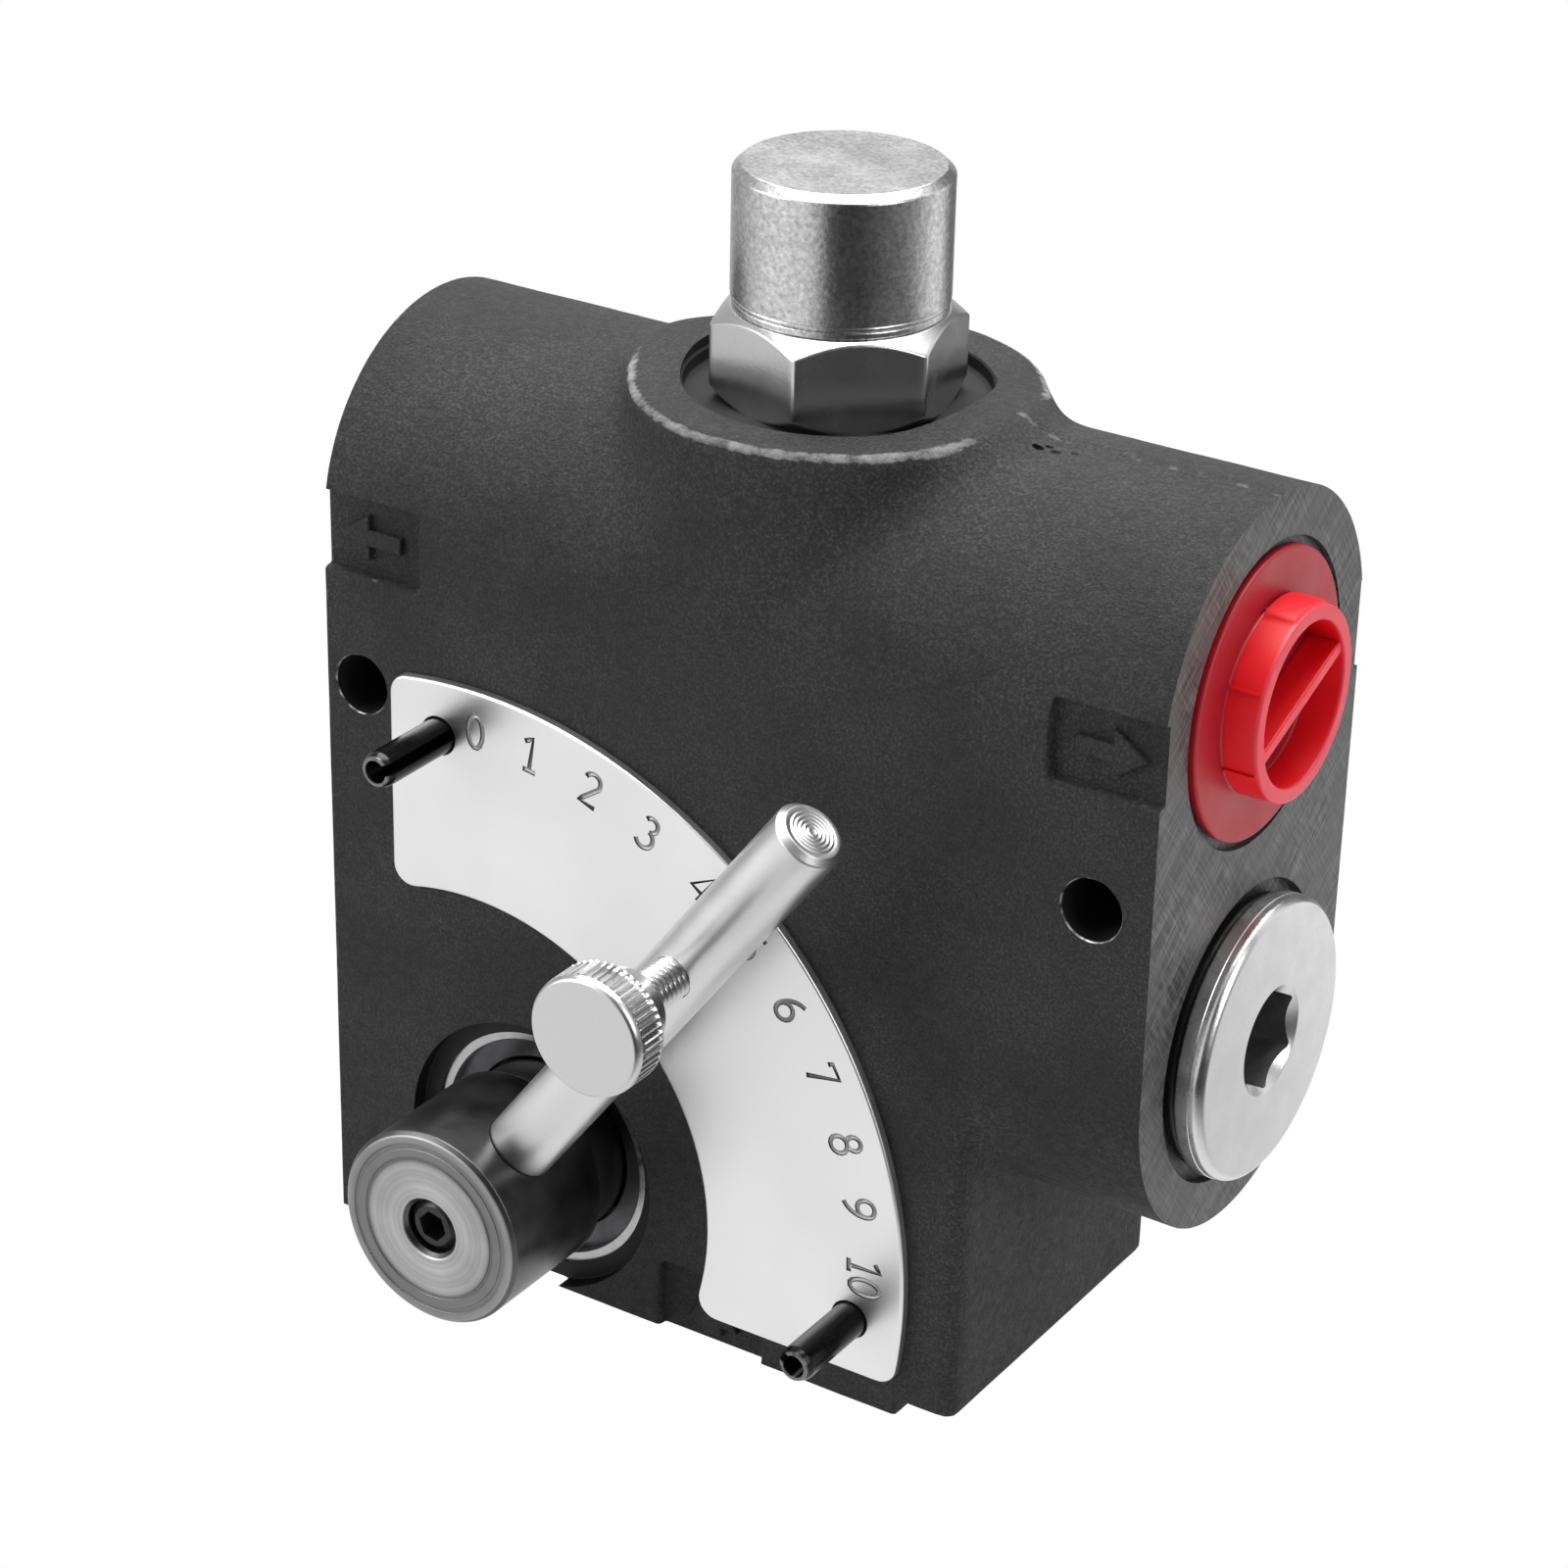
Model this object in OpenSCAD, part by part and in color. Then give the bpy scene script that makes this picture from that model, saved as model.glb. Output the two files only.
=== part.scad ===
// Pressure-compensated flow control valve with a built-in relief cartridge.
// Cast body, rotary metering shaft with a hand lever over a numbered dial, bypass spool inside.
// Millimetres. +Z up, dial on the -Y side, controlled flow out at -X, excess flow out at +X.
// Origin: centre of the inlet port's mouth, on the machined bottom face.

/* [Body casting] */
// Length over the two machined end faces (X)
body_w = 130; // [124:1:160]
// Depth between the flat front and back (Y)
body_d = 54.7; // [52:0.1:66]
// Height of the two side ports' axis above the bottom
port_z = 108; // [100:1:132]
// Height of the compensator spool's axis above the bottom
spool_z = 59; // [50:1:61]
// Distance from the relief axis to the lower block's right face
block_right = 39.7; // [36:0.1:42]
// Vertical edge radius of the lower block
block_edge_r = 2.5; // [1:0.1:4]
// How far the block's right corner is stepped up from the bottom face
corner_step = 2.3; // [1:0.1:4]
// Width of that stepped corner
corner_step_w = 9; // [4:0.5:10]
// Radius of the relief valve's boss
boss_r = 27.7; // [25:0.1:32]
// Height of the boss above the port lobe
boss_rise = 0.7; // [0.4:0.1:4]

/* [Mounting holes] */
// Bolt hole diameter
mount_d = 8.7; // [6:0.1:9]
// Distance between the two holes
mount_pitch = 115.5; // [110:0.5:116]
// Middle of the two holes, from the relief axis
mount_mid_x = -1.45; // [-1.6:0.05:0]
// Height of the holes above the bottom
mount_z = 86; // [85:0.5:87]

/* [Ports] */
// Port thread bore diameter
port_bore_d = 24.4; // [20:0.1:26]
// Threaded depth of a port
port_depth = 20; // [12:1:22]
// Spotface diameter round a side port
port_face_d = 41.5; // [38:0.1:44]
// Depth of that spotface
port_face_depth = 1; // [0.4:0.1:2]
// Diameter of the galleries behind the ports
gallery_d = 16; // [10:0.5:18]

/* [Label pockets] */
// Length of a pocket along the body
label_w = 17; // [12:0.5:20]
// Height of a pocket
label_h = 11.2; // [8:0.1:14]
// Depth of a pocket
label_depth = 1.5; // [0.8:0.1:2]
// Height of the cast arrow above the pocket floor
arrow_rise = 0.9; // [0.4:0.1:1.2]

/* [Control shaft] */
// Shaft axis, left of the relief axis
shaft_x = -30.9; // [-34:0.1:-28]
// Shaft axis, above the bottom
shaft_z = 20; // [18:0.5:22]
// Diameter of the shaft's outer end
shaft_head_d = 29.3; // [26:0.1:36]
// How far the shaft stands out of the front face
shaft_out = 23.6; // [22:0.1:30]
// Gap between the front face and the back of the outer end
shaft_head_gap = 3; // [1:0.1:5]
// Neck diameter
shaft_neck_d = 26; // [22:0.1:26.5]
// Metering drum diameter
drum_d = 28; // [26.8:0.1:29]
// Length of the metering drum
drum_len = 34; // [30:1:38]
// Bore of the hollow drum
drum_bore_d = 16; // [12:0.5:18]
// Radial running clearance of the drum in the body
drum_clear = 0.03; // [0.02:0.01:0.08]
// Counterbore round the shaft: diameter
shaft_recess_d = 41.2; // [40:0.1:44]
// Counterbore depth
shaft_recess_depth = 2.7; // [2:0.1:3.5]
// Gland bore behind the counterbore
gland_d = 36; // [34.4:0.1:37]
// Gland bore's depth below the counterbore
gland_depth = 4.3; // [4.2:0.1:6]
// Radial depth of the retaining ring's groove
ring_groove = 0.9; // [0.5:0.1:1.2]
// Thickness of the retaining ring
ring_t = 1.5; // [1:0.1:1.8]

/* [Lever and thumb screw] */
// Lever angle above horizontal, as set
lever_angle = 53.4; // [10:0.1:85]
// Lever rod diameter
lever_d = 10; // [8:0.1:12]
// Lever reach from the shaft axis to its tip
lever_reach = 90.7; // [76:0.1:100]
// Distance of the lever's axis in front of the front face
lever_out = 13.1; // [12:0.1:14]
// Thumb screw thread diameter
thumb_d = 6; // [5:0.5:6]
// Thumb screw's distance from the shaft axis
thumb_at = 59.6; // [45:0.1:62]
// Bare thread between lever and collar
thumb_gap = 8.3; // [6:0.1:12]
// Thumb screw collar diameter
thumb_collar_d = 11.4; // [8:0.1:13]
// Thumb screw collar length
thumb_collar_t = 4.5; // [2:0.1:6]
// Thumb screw head diameter
thumb_head_d = 17; // [14:0.1:22]
// Thumb screw head thickness
thumb_head_t = 6; // [4:0.1:8]

/* [Dial plate and stop pins] */
// Plate thickness
plate_t = 1.5; // [1:0.1:2]
// Outer radius of the plate's arc
plate_r_out = 72; // [70:0.1:73]
// Inner radius of the plate's arc
plate_r_in = 40.2; // [38:0.1:42]
// Arc centre, across from the shaft axis
plate_cx = -9; // [-10:0.1:-8]
// Arc centre, up from the shaft axis
plate_cz = -1; // [-2:0.1:0]
// Plate's left edge, across from the shaft axis
plate_left = -22.2; // [-24:0.1:-20]
// Plate's bottom edge, up from the shaft axis
plate_bottom = -14.5; // [-16:0.1:-13]
// Corner radius of the plate
plate_corner_r = 3; // [1:0.1:4]
// Stop pin diameter
pin_d = 5.2; // [4:0.1:6]
// Wall of the rolled stop pin
pin_wall = 1; // [0.6:0.1:1.2]
// Width of the pin's slot
pin_slot = 1.6; // [1:0.1:2]
// How far a stop pin stands out of the front face
pin_out = 15.5; // [14.5:0.1:17.5]
// Depth of a stop pin in the body
pin_in = 12; // [8:0.5:14]
// Stop pin at the dial's low end, from the shaft axis
pin_zero = [-13.9, 62.8];
// Stop pin at the dial's high end, from the shaft axis
pin_ten = [54.7, -6.1];

/* [Compensator] */
// Spool bore diameter
spool_d = 24; // [20:0.1:29]
// Radial clearance of the spool
spool_clear = 0.03; // [0.02:0.01:0.08]
// Spool travel against its spring
spool_travel = 8; // [4:0.5:9]
// Land length of the spool's spring end
spool_land_left = 13; // [11:0.5:13]
// Length of the spool's waist
spool_waist = 22; // [20:0.5:22]
// Land length of the spool's bypass end
spool_land_right = 25; // [24:0.5:26]
// Spool plug head diameter
plug_head_d = 39.3; // [37:0.1:40]
// Spool plug head thickness
plug_head_t = 3.9; // [3:0.1:5]
// Gap between the body's end face and the plug head
plug_stand = 0.8; // [0.4:0.1:1.2]
// Spool plug thread diameter
plug_thread_d = 33.2; // [30:0.1:34]
// Threaded length of the plug
plug_thread_len = 18; // [15:0.5:18]
// Counterbore round the plug: diameter
plug_recess_d = 42; // [41.5:0.1:43]
// Counterbore round the plug: depth
plug_recess_depth = 1.6; // [1:0.1:2]
// Hex socket across flats
plug_hex = 12.8; // [10:0.1:14]
// Hex socket depth
plug_hex_depth = 9; // [6:0.5:10]

/* [Relief cartridge] */
// Spotface diameter in the boss
relief_face_d = 41; // [38:0.1:44]
// Depth of that spotface
relief_face_depth = 2; // [1:0.1:2.5]
// Hexagon across flats
relief_hex = 30; // [28:0.1:32]
// Hexagon height
relief_hex_h = 12.4; // [10:0.1:14]
// Turn of the hexagon about the vertical
relief_hex_turn = -17.7; // [-30:0.1:30]
// Cartridge thread diameter
relief_thread_d = 26; // [24:0.1:27]
// Cartridge nose diameter
relief_nose_d = 21; // [19:0.1:22]
// Depth of the cartridge thread below the hexagon
relief_thread_len = 18; // [14:0.5:20]
// Bore of the cartridge
relief_bore_d = 14; // [12:0.1:15]
// Cap diameter
cap_d = 29; // [27:0.1:29.5]
// Cap height
cap_h = 18; // [17:0.1:24]
// Cap washer thickness
cap_washer_t = 1.1; // [0.6:0.1:2]
// Adjusting screw diameter
adjust_d = 8; // [6:0.1:8.4]
// Room for the spring guide to back off upwards
adjust_back_off = 1; // [0.5:0.1:2]

/* [Port plug] */
// Flange diameter of the plastic port plug
tap_flange_d = 39.2; // [36:0.1:40]
// Flange thickness
tap_flange_t = 1.4; // [1:0.1:2]
// Grip ring outside diameter
tap_ring_d = 26.1; // [22:0.1:28]
// Wall of the grip ring
tap_wall = 2; // [1.2:0.1:2.4]
// Face of the grip ring, beyond the body's end face
tap_out = 5.6; // [4:0.1:8]
// Length of the plug inside the port
tap_in = 14; // [8:0.5:16]
// Turn of the grip web above horizontal
tap_web_turn = 22; // [0:1:90]

/* [Hidden] */
$fn = 96;

// clearances shared by several pieces
run_gap = 0.05;
seat_gap = 0.1;
free_gap = 0.3;
far = 400;

// body
front_y = -body_d / 2;
end_x = body_w / 2;
lobe_r = body_d / 2;
top_z = port_z + lobe_r;
boss_z = top_z + boss_rise;

// relief heights, from the boss down and up
relief_z = boss_z - relief_face_depth;
relief_thread_z = relief_z - relief_thread_len;
relief_seat_z = port_z - 12;
relief_seat_t = 5;
hex_top_z = relief_z + relief_hex_h;
cap_z = hex_top_z + cap_washer_t;
cap_wall = 2.6;
cap_top_t = 2.4;
neck_d = cap_d - 2 * cap_wall - 2 * run_gap;
neck_h = 5.5;
guide_h = 5;
guide_z = relief_z + 1;
adjust_top_z = cap_z + cap_h - cap_top_t - 2.2;
nut_h = 4;
nut_z = hex_top_z + neck_h + seat_gap;
poppet_d = relief_bore_d - 2 * 0.6;
poppet_seat_d = 9;
poppet_h = 9;
poppet_cone_h = 2.5;
poppet_z = relief_seat_z + relief_seat_t + run_gap;
poppet_stem_h = 6;
relief_wire_r = 0.9;
relief_spring_r = 4.7;
relief_spring_turns = 6.5;
relief_feed_r = 4;
relief_vent_r = 2.5;
relief_seal_w = 2.2;
relief_seal_depth = 1.6;
relief_seal_r = 0.75;
relief_guide_gap = 0.06;
adjust_hex = 4;
adjust_hex_depth = 3;
nut_hex = 13;

// compensator, from the left plug's inner end to the right plug's
plug_inner_x = end_x - plug_thread_len;
spool_left_x = -(spool_land_left + spool_waist / 2);
spool_right_x = spool_waist / 2 + spool_land_right;
spool_r = spool_d / 2 - spool_clear;
waist_r = 7.5;
spool_core_r = 5.5;
spool_stub_r = 5;
spool_stub_len = 6;
spool_wire_r = 1.1;
spool_spring_r = 8.4;
spool_spring_turns = 5.5;
plug_undercut_w = plug_recess_depth + plug_stand;
plug_undercut_d = 0.4;
bypass_x = 26;
cf_riser_x = shaft_x - 3;
plug_o_ring_r = (plug_recess_depth + plug_stand) / 2 - run_gap;
spool_cross_r = 3;

// control shaft, along Y
head_front_y = front_y - shaft_out;
head_back_y = front_y - shaft_head_gap;
recess_floor_y = front_y + shaft_recess_depth;
gland_floor_y = recess_floor_y + gland_depth;
drum_end_y = gland_floor_y + drum_len;
drum_r = drum_d / 2;
ring_y = recess_floor_y + 0.5;
washer_y = ring_y + ring_t + seat_gap;
lever_y = front_y - lever_out;
lever_root = 9;
set_screw_d = 8;
set_screw_hex = 4;
set_screw_inset = 0.9;
o_ring_groove_w = 2.4;
o_ring_groove_d = 1.6;
shaft_o_ring_r = 0.75;
shaft_o_ring_at = [3, drum_len - 4];
ring_wall = 1.4;
plier_hole_r = 0.8;
// turned grooves in the shaft's end face: outer and inner radius, inwards from the head's edge
face_grooves = [[1.75, 2.55], [3.75, 4.25]];
face_groove_depth = 0.35;

// thumb screw, along Y
plate_front_y = front_y - plate_t;
stud_tip_y = plate_front_y - free_gap;
collar_back_y = lever_y - lever_d / 2 - thumb_gap;
head_back_plane_y = collar_back_y - thumb_collar_t;
head_face_y = head_back_plane_y - thumb_head_t;
stud_embed = 6;

// ---------- helpers ----------

// Cylinder along X from x0 to x1
module rod_x(x0, x1, r, y = 0, z = 0)
    translate([x0, y, z]) rotate([0, 90, 0]) cylinder(r = r, h = x1 - x0);

// Cylinder along Y from y0 to y1
module rod_y(y0, y1, r, x = 0, z = 0)
    translate([x, y0, z]) rotate([-90, 0, 0]) cylinder(r = r, h = y1 - y0);

// Cylinder along Z from z0 to z1
module rod_z(z0, z1, r, x = 0, y = 0)
    translate([x, y, z0]) cylinder(r = r, h = z1 - z0);

// Box with vertical edges rounded to r
module rounded_box(x0, x1, y0, y1, z0, z1, r) {
    translate([x0 + r, y0, z0]) cube([x1 - x0 - 2 * r, y1 - y0, z1 - z0]);
    translate([x0, y0 + r, z0]) cube([x1 - x0, y1 - y0 - 2 * r, z1 - z0]);
    for (x = [x0 + r, x1 - r], y = [y0 + r, y1 - r]) rod_z(z0, z1, r, x, y);
}

// Torus about Z
module o_ring(mean_r, cord_r)
    rotate_extrude() translate([mean_r, 0]) circle(r = cord_r, $fn = 32);

// Corner points of a coil spring's wire about Z, one ring of points per station
function coil_points(mean_r, wire_r, rise, turns, per_turn, sides) =
    [for (i = [0 : turns * per_turn], k = [0 : sides - 1])
        let (a = 360 * i / per_turn, b = 360 * k / sides, r = mean_r + wire_r * cos(b))
        [r * cos(a), r * sin(a), rise * i / (turns * per_turn) + wire_r * sin(b)]];

// Coil spring about Z from z = 0 to z = length, measured over the wire
module coil_spring(mean_r, wire_r, length, turns) {
    per_turn = 24;
    sides = 8;
    stations = turns * per_turn;
    points = coil_points(mean_r, wire_r, length - 2 * wire_r, turns, per_turn, sides);
    walls = [for (i = [0 : stations - 1], k = [0 : sides - 1])
        [i * sides + k, i * sides + (k + 1) % sides,
         (i + 1) * sides + (k + 1) % sides, (i + 1) * sides + k]];
    start_cap = [[for (k = [sides - 1 : -1 : 0]) k]];
    end_cap = [[for (k = [0 : sides - 1]) stations * sides + k]];
    translate([0, 0, wire_r]) polyhedron(points, concat(walls, start_cap, end_cap), convexity = 10);
}

// Arrow outline, pointing along +X, centred on the origin
module arrow_2d(length, width) {
    head = width * 0.75;
    polygon([
        [-length / 2, -width / 5], [length / 2 - head, -width / 5], [length / 2 - head, -width / 2],
        [length / 2, 0], [length / 2 - head, width / 2], [length / 2 - head, width / 5],
        [-length / 2, width / 5]
    ]);
}

// ---------- body ----------

module lobe_profile() {
    translate([0, port_z]) circle(r = lobe_r);
    translate([0, spool_z]) circle(r = lobe_r);
    translate([-lobe_r, spool_z]) square([2 * lobe_r, port_z - spool_z]);
}

module body_outside() {
    translate([-end_x, 0, 0]) rotate([90, 0, 90]) linear_extrude(body_w) lobe_profile();
    difference() {
        rounded_box(-end_x, block_right, front_y, -front_y, 0, spool_z, block_edge_r);
        translate([block_right - corner_step_w, -far / 2, -1]) cube([far, far, corner_step + 1]);
    }
    rod_z(port_z, boss_z, boss_r);
}

// One label pocket on the front and one on the back, with a cast arrow left standing
module label_pocket(x0, z0, turn) {
    for (side = [-1, 1])
        difference() {
            translate([x0, side > 0 ? -front_y - label_depth : front_y - 1, z0])
                cube([label_w, label_depth + 1, label_h]);
            translate([x0 + label_w / 2, side * (-front_y - label_depth), z0 + label_h / 2])
                rotate([90, 0, 0])
                    translate([0, 0, side > 0 ? -arrow_rise : -seat_gap])
                        linear_extrude(arrow_rise + seat_gap)
                            rotate(turn) arrow_2d(label_w * 0.6, label_h * 0.6);
        }
}

module label_pockets() {
    label_z = port_z - label_h / 2;
    label_pocket(-end_x - 1, label_z, 180);
    label_pocket(end_x - label_w + 1, label_z, 0);
    label_pocket(-label_w / 2, -0.5, 90);
}

module shaft_cavity() {
    rod_y(front_y - 1, recess_floor_y, shaft_recess_d / 2, shaft_x, shaft_z);
    rod_y(front_y - 1, gland_floor_y, gland_d / 2, shaft_x, shaft_z);
    rod_y(ring_y, ring_y + ring_t + seat_gap, gland_d / 2 + ring_groove, shaft_x, shaft_z);
    rod_y(front_y - 1, drum_end_y + 1, drum_r + drum_clear, shaft_x, shaft_z);
}

module spool_cavity() {
    rod_x(-far / 2, far / 2, spool_d / 2, 0, spool_z);
    for (s = [-1, 1]) {
        rod_x(s > 0 ? plug_inner_x : -far / 2, s > 0 ? far / 2 : -plug_inner_x,
              plug_thread_d / 2 + run_gap, 0, spool_z);
        rod_x(s > 0 ? end_x - plug_recess_depth : -far / 2,
              s > 0 ? far / 2 : plug_recess_depth - end_x, plug_recess_d / 2, 0, spool_z);
    }
}

module port_cavities() {
    for (s = [-1, 1]) {
        rod_x(s > 0 ? end_x - port_depth : -far / 2, s > 0 ? far / 2 : port_depth - end_x,
              port_bore_d / 2, 0, port_z);
        rod_x(s > 0 ? end_x - port_face_depth : -far / 2, s > 0 ? far / 2 : port_face_depth - end_x,
              port_face_d / 2, 0, port_z);
    }
    rod_z(-1, port_depth, port_bore_d / 2);
}

module galleries() {
    r = gallery_d / 2;
    // inlet up to the spool, and on up to the relief seat
    rod_z(port_depth - 1, spool_z, r);
    rod_z(spool_z, relief_seat_z, relief_feed_r);
    // inlet across to the drum's side window
    rod_x(shaft_x, 0, r * 0.8, 0, shaft_z);
    // drum's top slot up to the spring chamber, then up to the controlled-flow port
    rod_z(shaft_z, spool_z, r * 0.8, shaft_x, 0);
    rod_z(spool_z, port_z, r, cf_riser_x, 0);
    rod_x(-end_x + 1, cf_riser_x, r, 0, port_z);
    // bypass from the spool bore up to the excess-flow port, and the relief outlet into it
    rod_z(spool_z, port_z, r, bypass_x, 0);
    rod_x(0, end_x - 1, r, 0, port_z);
}

module relief_cavity() {
    rod_z(relief_z, far, relief_face_d / 2);
    rod_z(relief_thread_z, far, relief_thread_d / 2 + run_gap);
    rod_z(relief_seat_z, far, relief_nose_d / 2 + run_gap);
}

module valve_body() {
    color([0.22, 0.22, 0.23])
        difference() {
            body_outside();
            label_pockets();
            shaft_cavity();
            spool_cavity();
            port_cavities();
            galleries();
            relief_cavity();
            for (s = [-1, 1])
                rod_y(-far / 2, far / 2, mount_d / 2, mount_mid_x + s * mount_pitch / 2, mount_z);
            for (p = [pin_zero, pin_ten])
                rod_y(front_y - 1, front_y + pin_in + free_gap, pin_d / 2 + run_gap / 2,
                      shaft_x + p[0], shaft_z + p[1]);
        }
}

// ---------- dial plate and stops ----------

// Corner radius taken off a sharp 2D shape by opening it
module plate_outline() {
    r = plate_corner_r;
    offset(r = r, $fn = 48) offset(delta = -r)
        difference() {
            intersection() {
                translate([plate_cx, plate_cz]) circle(r = plate_r_out, $fn = 360);
                translate([plate_left, plate_bottom]) square(far);
            }
            translate([plate_cx, plate_cz]) circle(r = plate_r_in, $fn = 240);
        }
}

module dial_plate() {
    color([0.86, 0.86, 0.86])
        difference() {
            translate([shaft_x, front_y, shaft_z]) rotate([90, 0, 0]) linear_extrude(plate_t) plate_outline();
            for (p = [pin_zero, pin_ten])
                rod_y(front_y - plate_t - 1, front_y + 1, pin_d / 2 + run_gap / 2,
                      shaft_x + p[0], shaft_z + p[1]);
        }
}

// Rolled spring pin with its slot turned to the given side
module stop_pin(p, slot_turn) {
    length = pin_out + pin_in;
    color([0.12, 0.12, 0.12])
        translate([shaft_x + p[0], front_y + pin_in, shaft_z + p[1]]) rotate([90, 0, 0])
            difference() {
                cylinder(r = pin_d / 2, h = length);
                translate([0, 0, -1]) cylinder(r = pin_d / 2 - pin_wall, h = length + 2);
                rotate(slot_turn) translate([0, -pin_slot / 2, -1]) cube([pin_d, pin_slot, length + 2]);
            }
}

module stop_pin_zero() stop_pin(pin_zero, 20);

module stop_pin_ten() stop_pin(pin_ten, 150);

// ---------- control shaft group ----------

module control_shaft() {
    color([0.45, 0.45, 0.46])
        difference() {
            translate([shaft_x, head_front_y, shaft_z]) rotate([-90, 0, 0]) shaft_turned();
            // cross hole for the lever, blind past the axis
            translate([shaft_x, lever_y, shaft_z]) rotate([0, -lever_angle, 0])
                rod_x(-lever_root - seat_gap, far, lever_d / 2 + run_gap);
            // inlet window and metering slot through the hollow drum
            translate([shaft_x, 0, shaft_z]) rotate([0, -lever_angle, 0]) drum_windows();
        }
}

// The turned blank about Z, front face at z = 0
module shaft_turned() {
    head_len = head_back_y - head_front_y;
    drum_start = gland_floor_y - head_front_y;
    drum_end = drum_end_y - head_front_y;
    chamfer = 0.7;
    difference() {
        union() {
            cylinder(r1 = shaft_head_d / 2 - chamfer, r2 = shaft_head_d / 2, h = chamfer);
            translate([0, 0, chamfer]) cylinder(r = shaft_head_d / 2, h = head_len - chamfer);
            cylinder(r = shaft_neck_d / 2, h = drum_start + 1);
            translate([0, 0, drum_start + seat_gap]) cylinder(r = drum_r, h = drum_end - drum_start - seat_gap);
        }
        // turned grooves in the end face
        for (g = face_grooves)
            translate([0, 0, -1]) difference() {
                cylinder(r = shaft_head_d / 2 - g[0], h = 1 + face_groove_depth);
                translate([0, 0, -1]) cylinder(r = shaft_head_d / 2 - g[1], h = 4);
            }
        // tapped hole for the set screw, with a countersunk mouth
        translate([0, 0, -1]) cylinder(r = set_screw_d / 2 + run_gap, h = shaft_out - lever_out + 1);
        translate([0, 0, -0.01]) cylinder(r1 = set_screw_d / 2 + 0.6, r2 = set_screw_d / 2, h = 0.7);
        // hollow drum
        translate([0, 0, drum_start + 4]) cylinder(r = drum_bore_d / 2, h = drum_len);
        for (y = shaft_o_ring_at)
            translate([0, 0, drum_start + y - o_ring_groove_w / 2]) difference() {
                cylinder(r = drum_r + 1, h = o_ring_groove_w);
                translate([0, 0, -1]) cylinder(r = drum_r - o_ring_groove_d, h = o_ring_groove_w + 2);
            }
    }
}

// Openings through the drum's wall, about Y, with the lever along +X
module drum_windows() {
    depth = drum_d - drum_bore_d;
    start = drum_bore_d / 2 - 3;
    window_w = gallery_d * 0.7;
    window_h = drum_bore_d;
    slot_w = gallery_d * 0.6;
    slot_len = drum_bore_d - 1;
    // wide window towards the inlet
    rotate([0, lever_angle, 0])
        translate([start, -window_w / 2, -window_h / 2]) cube([depth, window_w, window_h]);
    // tapered metering slot that the lever carries across the outlet
    rotate([0, lever_angle - 90, 0]) translate([start, 0, 0]) rotate([90, 0, 90])
        linear_extrude(depth)
            polygon([[-slot_w / 2, -slot_len / 2], [slot_w / 2, -slot_len / 2], [0, slot_len / 2]]);
}

module control_lever() {
    tip = 0.9;
    color([0.8, 0.8, 0.8])
        difference() {
            translate([shaft_x, lever_y, shaft_z]) rotate([0, 90 - lever_angle, 0])
                translate([0, 0, -lever_root]) {
                    cylinder(r = lever_d / 2, h = lever_root + lever_reach - tip);
                    translate([0, 0, lever_root + lever_reach - tip])
                        cylinder(r1 = lever_d / 2, r2 = lever_d / 2 - tip, h = tip);
                }
            at_thumb() rod_z(-lever_d, lever_d, thumb_d / 2 + run_gap);
        }
}

module lever_set_screw() {
    front = head_front_y + set_screw_inset;
    length = lever_y - lever_d / 2 - front - seat_gap;
    color([0.2, 0.2, 0.2])
        translate([shaft_x, front, shaft_z]) rotate([-90, 0, 0])
            difference() {
                cylinder(r = set_screw_d / 2, h = length);
                translate([0, 0, -1]) cylinder(r = set_screw_hex / sqrt(3), h = 1 + length * 0.7, $fn = 6);
            }
}

module shaft_o_rings() {
    color([0.08, 0.08, 0.08])
        for (y = shaft_o_ring_at)
            translate([shaft_x, gland_floor_y + y, shaft_z]) rotate([90, 0, 0])
                o_ring(drum_r - shaft_o_ring_r, shaft_o_ring_r);
}

module shaft_thrust_washer() {
    color([0.3, 0.3, 0.3])
        difference() {
            rod_y(washer_y, gland_floor_y - seat_gap, gland_d / 2 - run_gap, shaft_x, shaft_z);
            rod_y(washer_y - 1, gland_floor_y + 1, shaft_neck_d / 2 + free_gap, shaft_x, shaft_z);
        }
}

// Internal retaining ring, open at the lower left, with two plier lugs
module shaft_retaining_ring() {
    r_out = gland_d / 2 + ring_groove - run_gap;
    r_in = gland_d / 2 - ring_wall;
    open_turn = 225;
    open_w = 9;
    lug_r = 1.7;
    lug_at = r_in + 0.3;
    lug_turn = 19;
    color([0.6, 0.6, 0.6])
        translate([shaft_x, ring_y + ring_t, shaft_z]) rotate([90, 0, 0])
            difference() {
                cylinder(r = r_out, h = ring_t);
                difference() {
                    translate([0, 0, -1]) cylinder(r = r_in, h = ring_t + 2);
                    for (s = [-1, 1])
                        rotate(open_turn + s * lug_turn) translate([lug_at, 0, -2])
                            cylinder(r = lug_r, h = ring_t + 4);
                }
                rotate(open_turn) translate([0, -open_w / 2, -1]) cube([gland_d, open_w, ring_t + 2]);
                for (s = [-1, 1])
                    rotate(open_turn + s * lug_turn) translate([lug_at, 0, -1])
                        cylinder(r = plier_hole_r, h = ring_t + 2);
            }
}

// ---------- thumb screw ----------

// Puts its children at the thumb screw's axis, z towards the front, z = 0 on the lever's axis
module at_thumb()
    translate([shaft_x + thumb_at * cos(lever_angle), lever_y, shaft_z + thumb_at * sin(lever_angle)])
        rotate([90, 0, 0]) children();

module thumb_screw_stud() {
    chamfer = 0.7;
    color([0.75, 0.75, 0.75])
        at_thumb() {
            rod_z(lever_y - stud_tip_y + chamfer, lever_y - collar_back_y + stud_embed, thumb_d / 2);
            translate([0, 0, lever_y - stud_tip_y])
                cylinder(r1 = thumb_d / 2 - chamfer, r2 = thumb_d / 2, h = chamfer);
        }
}

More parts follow.
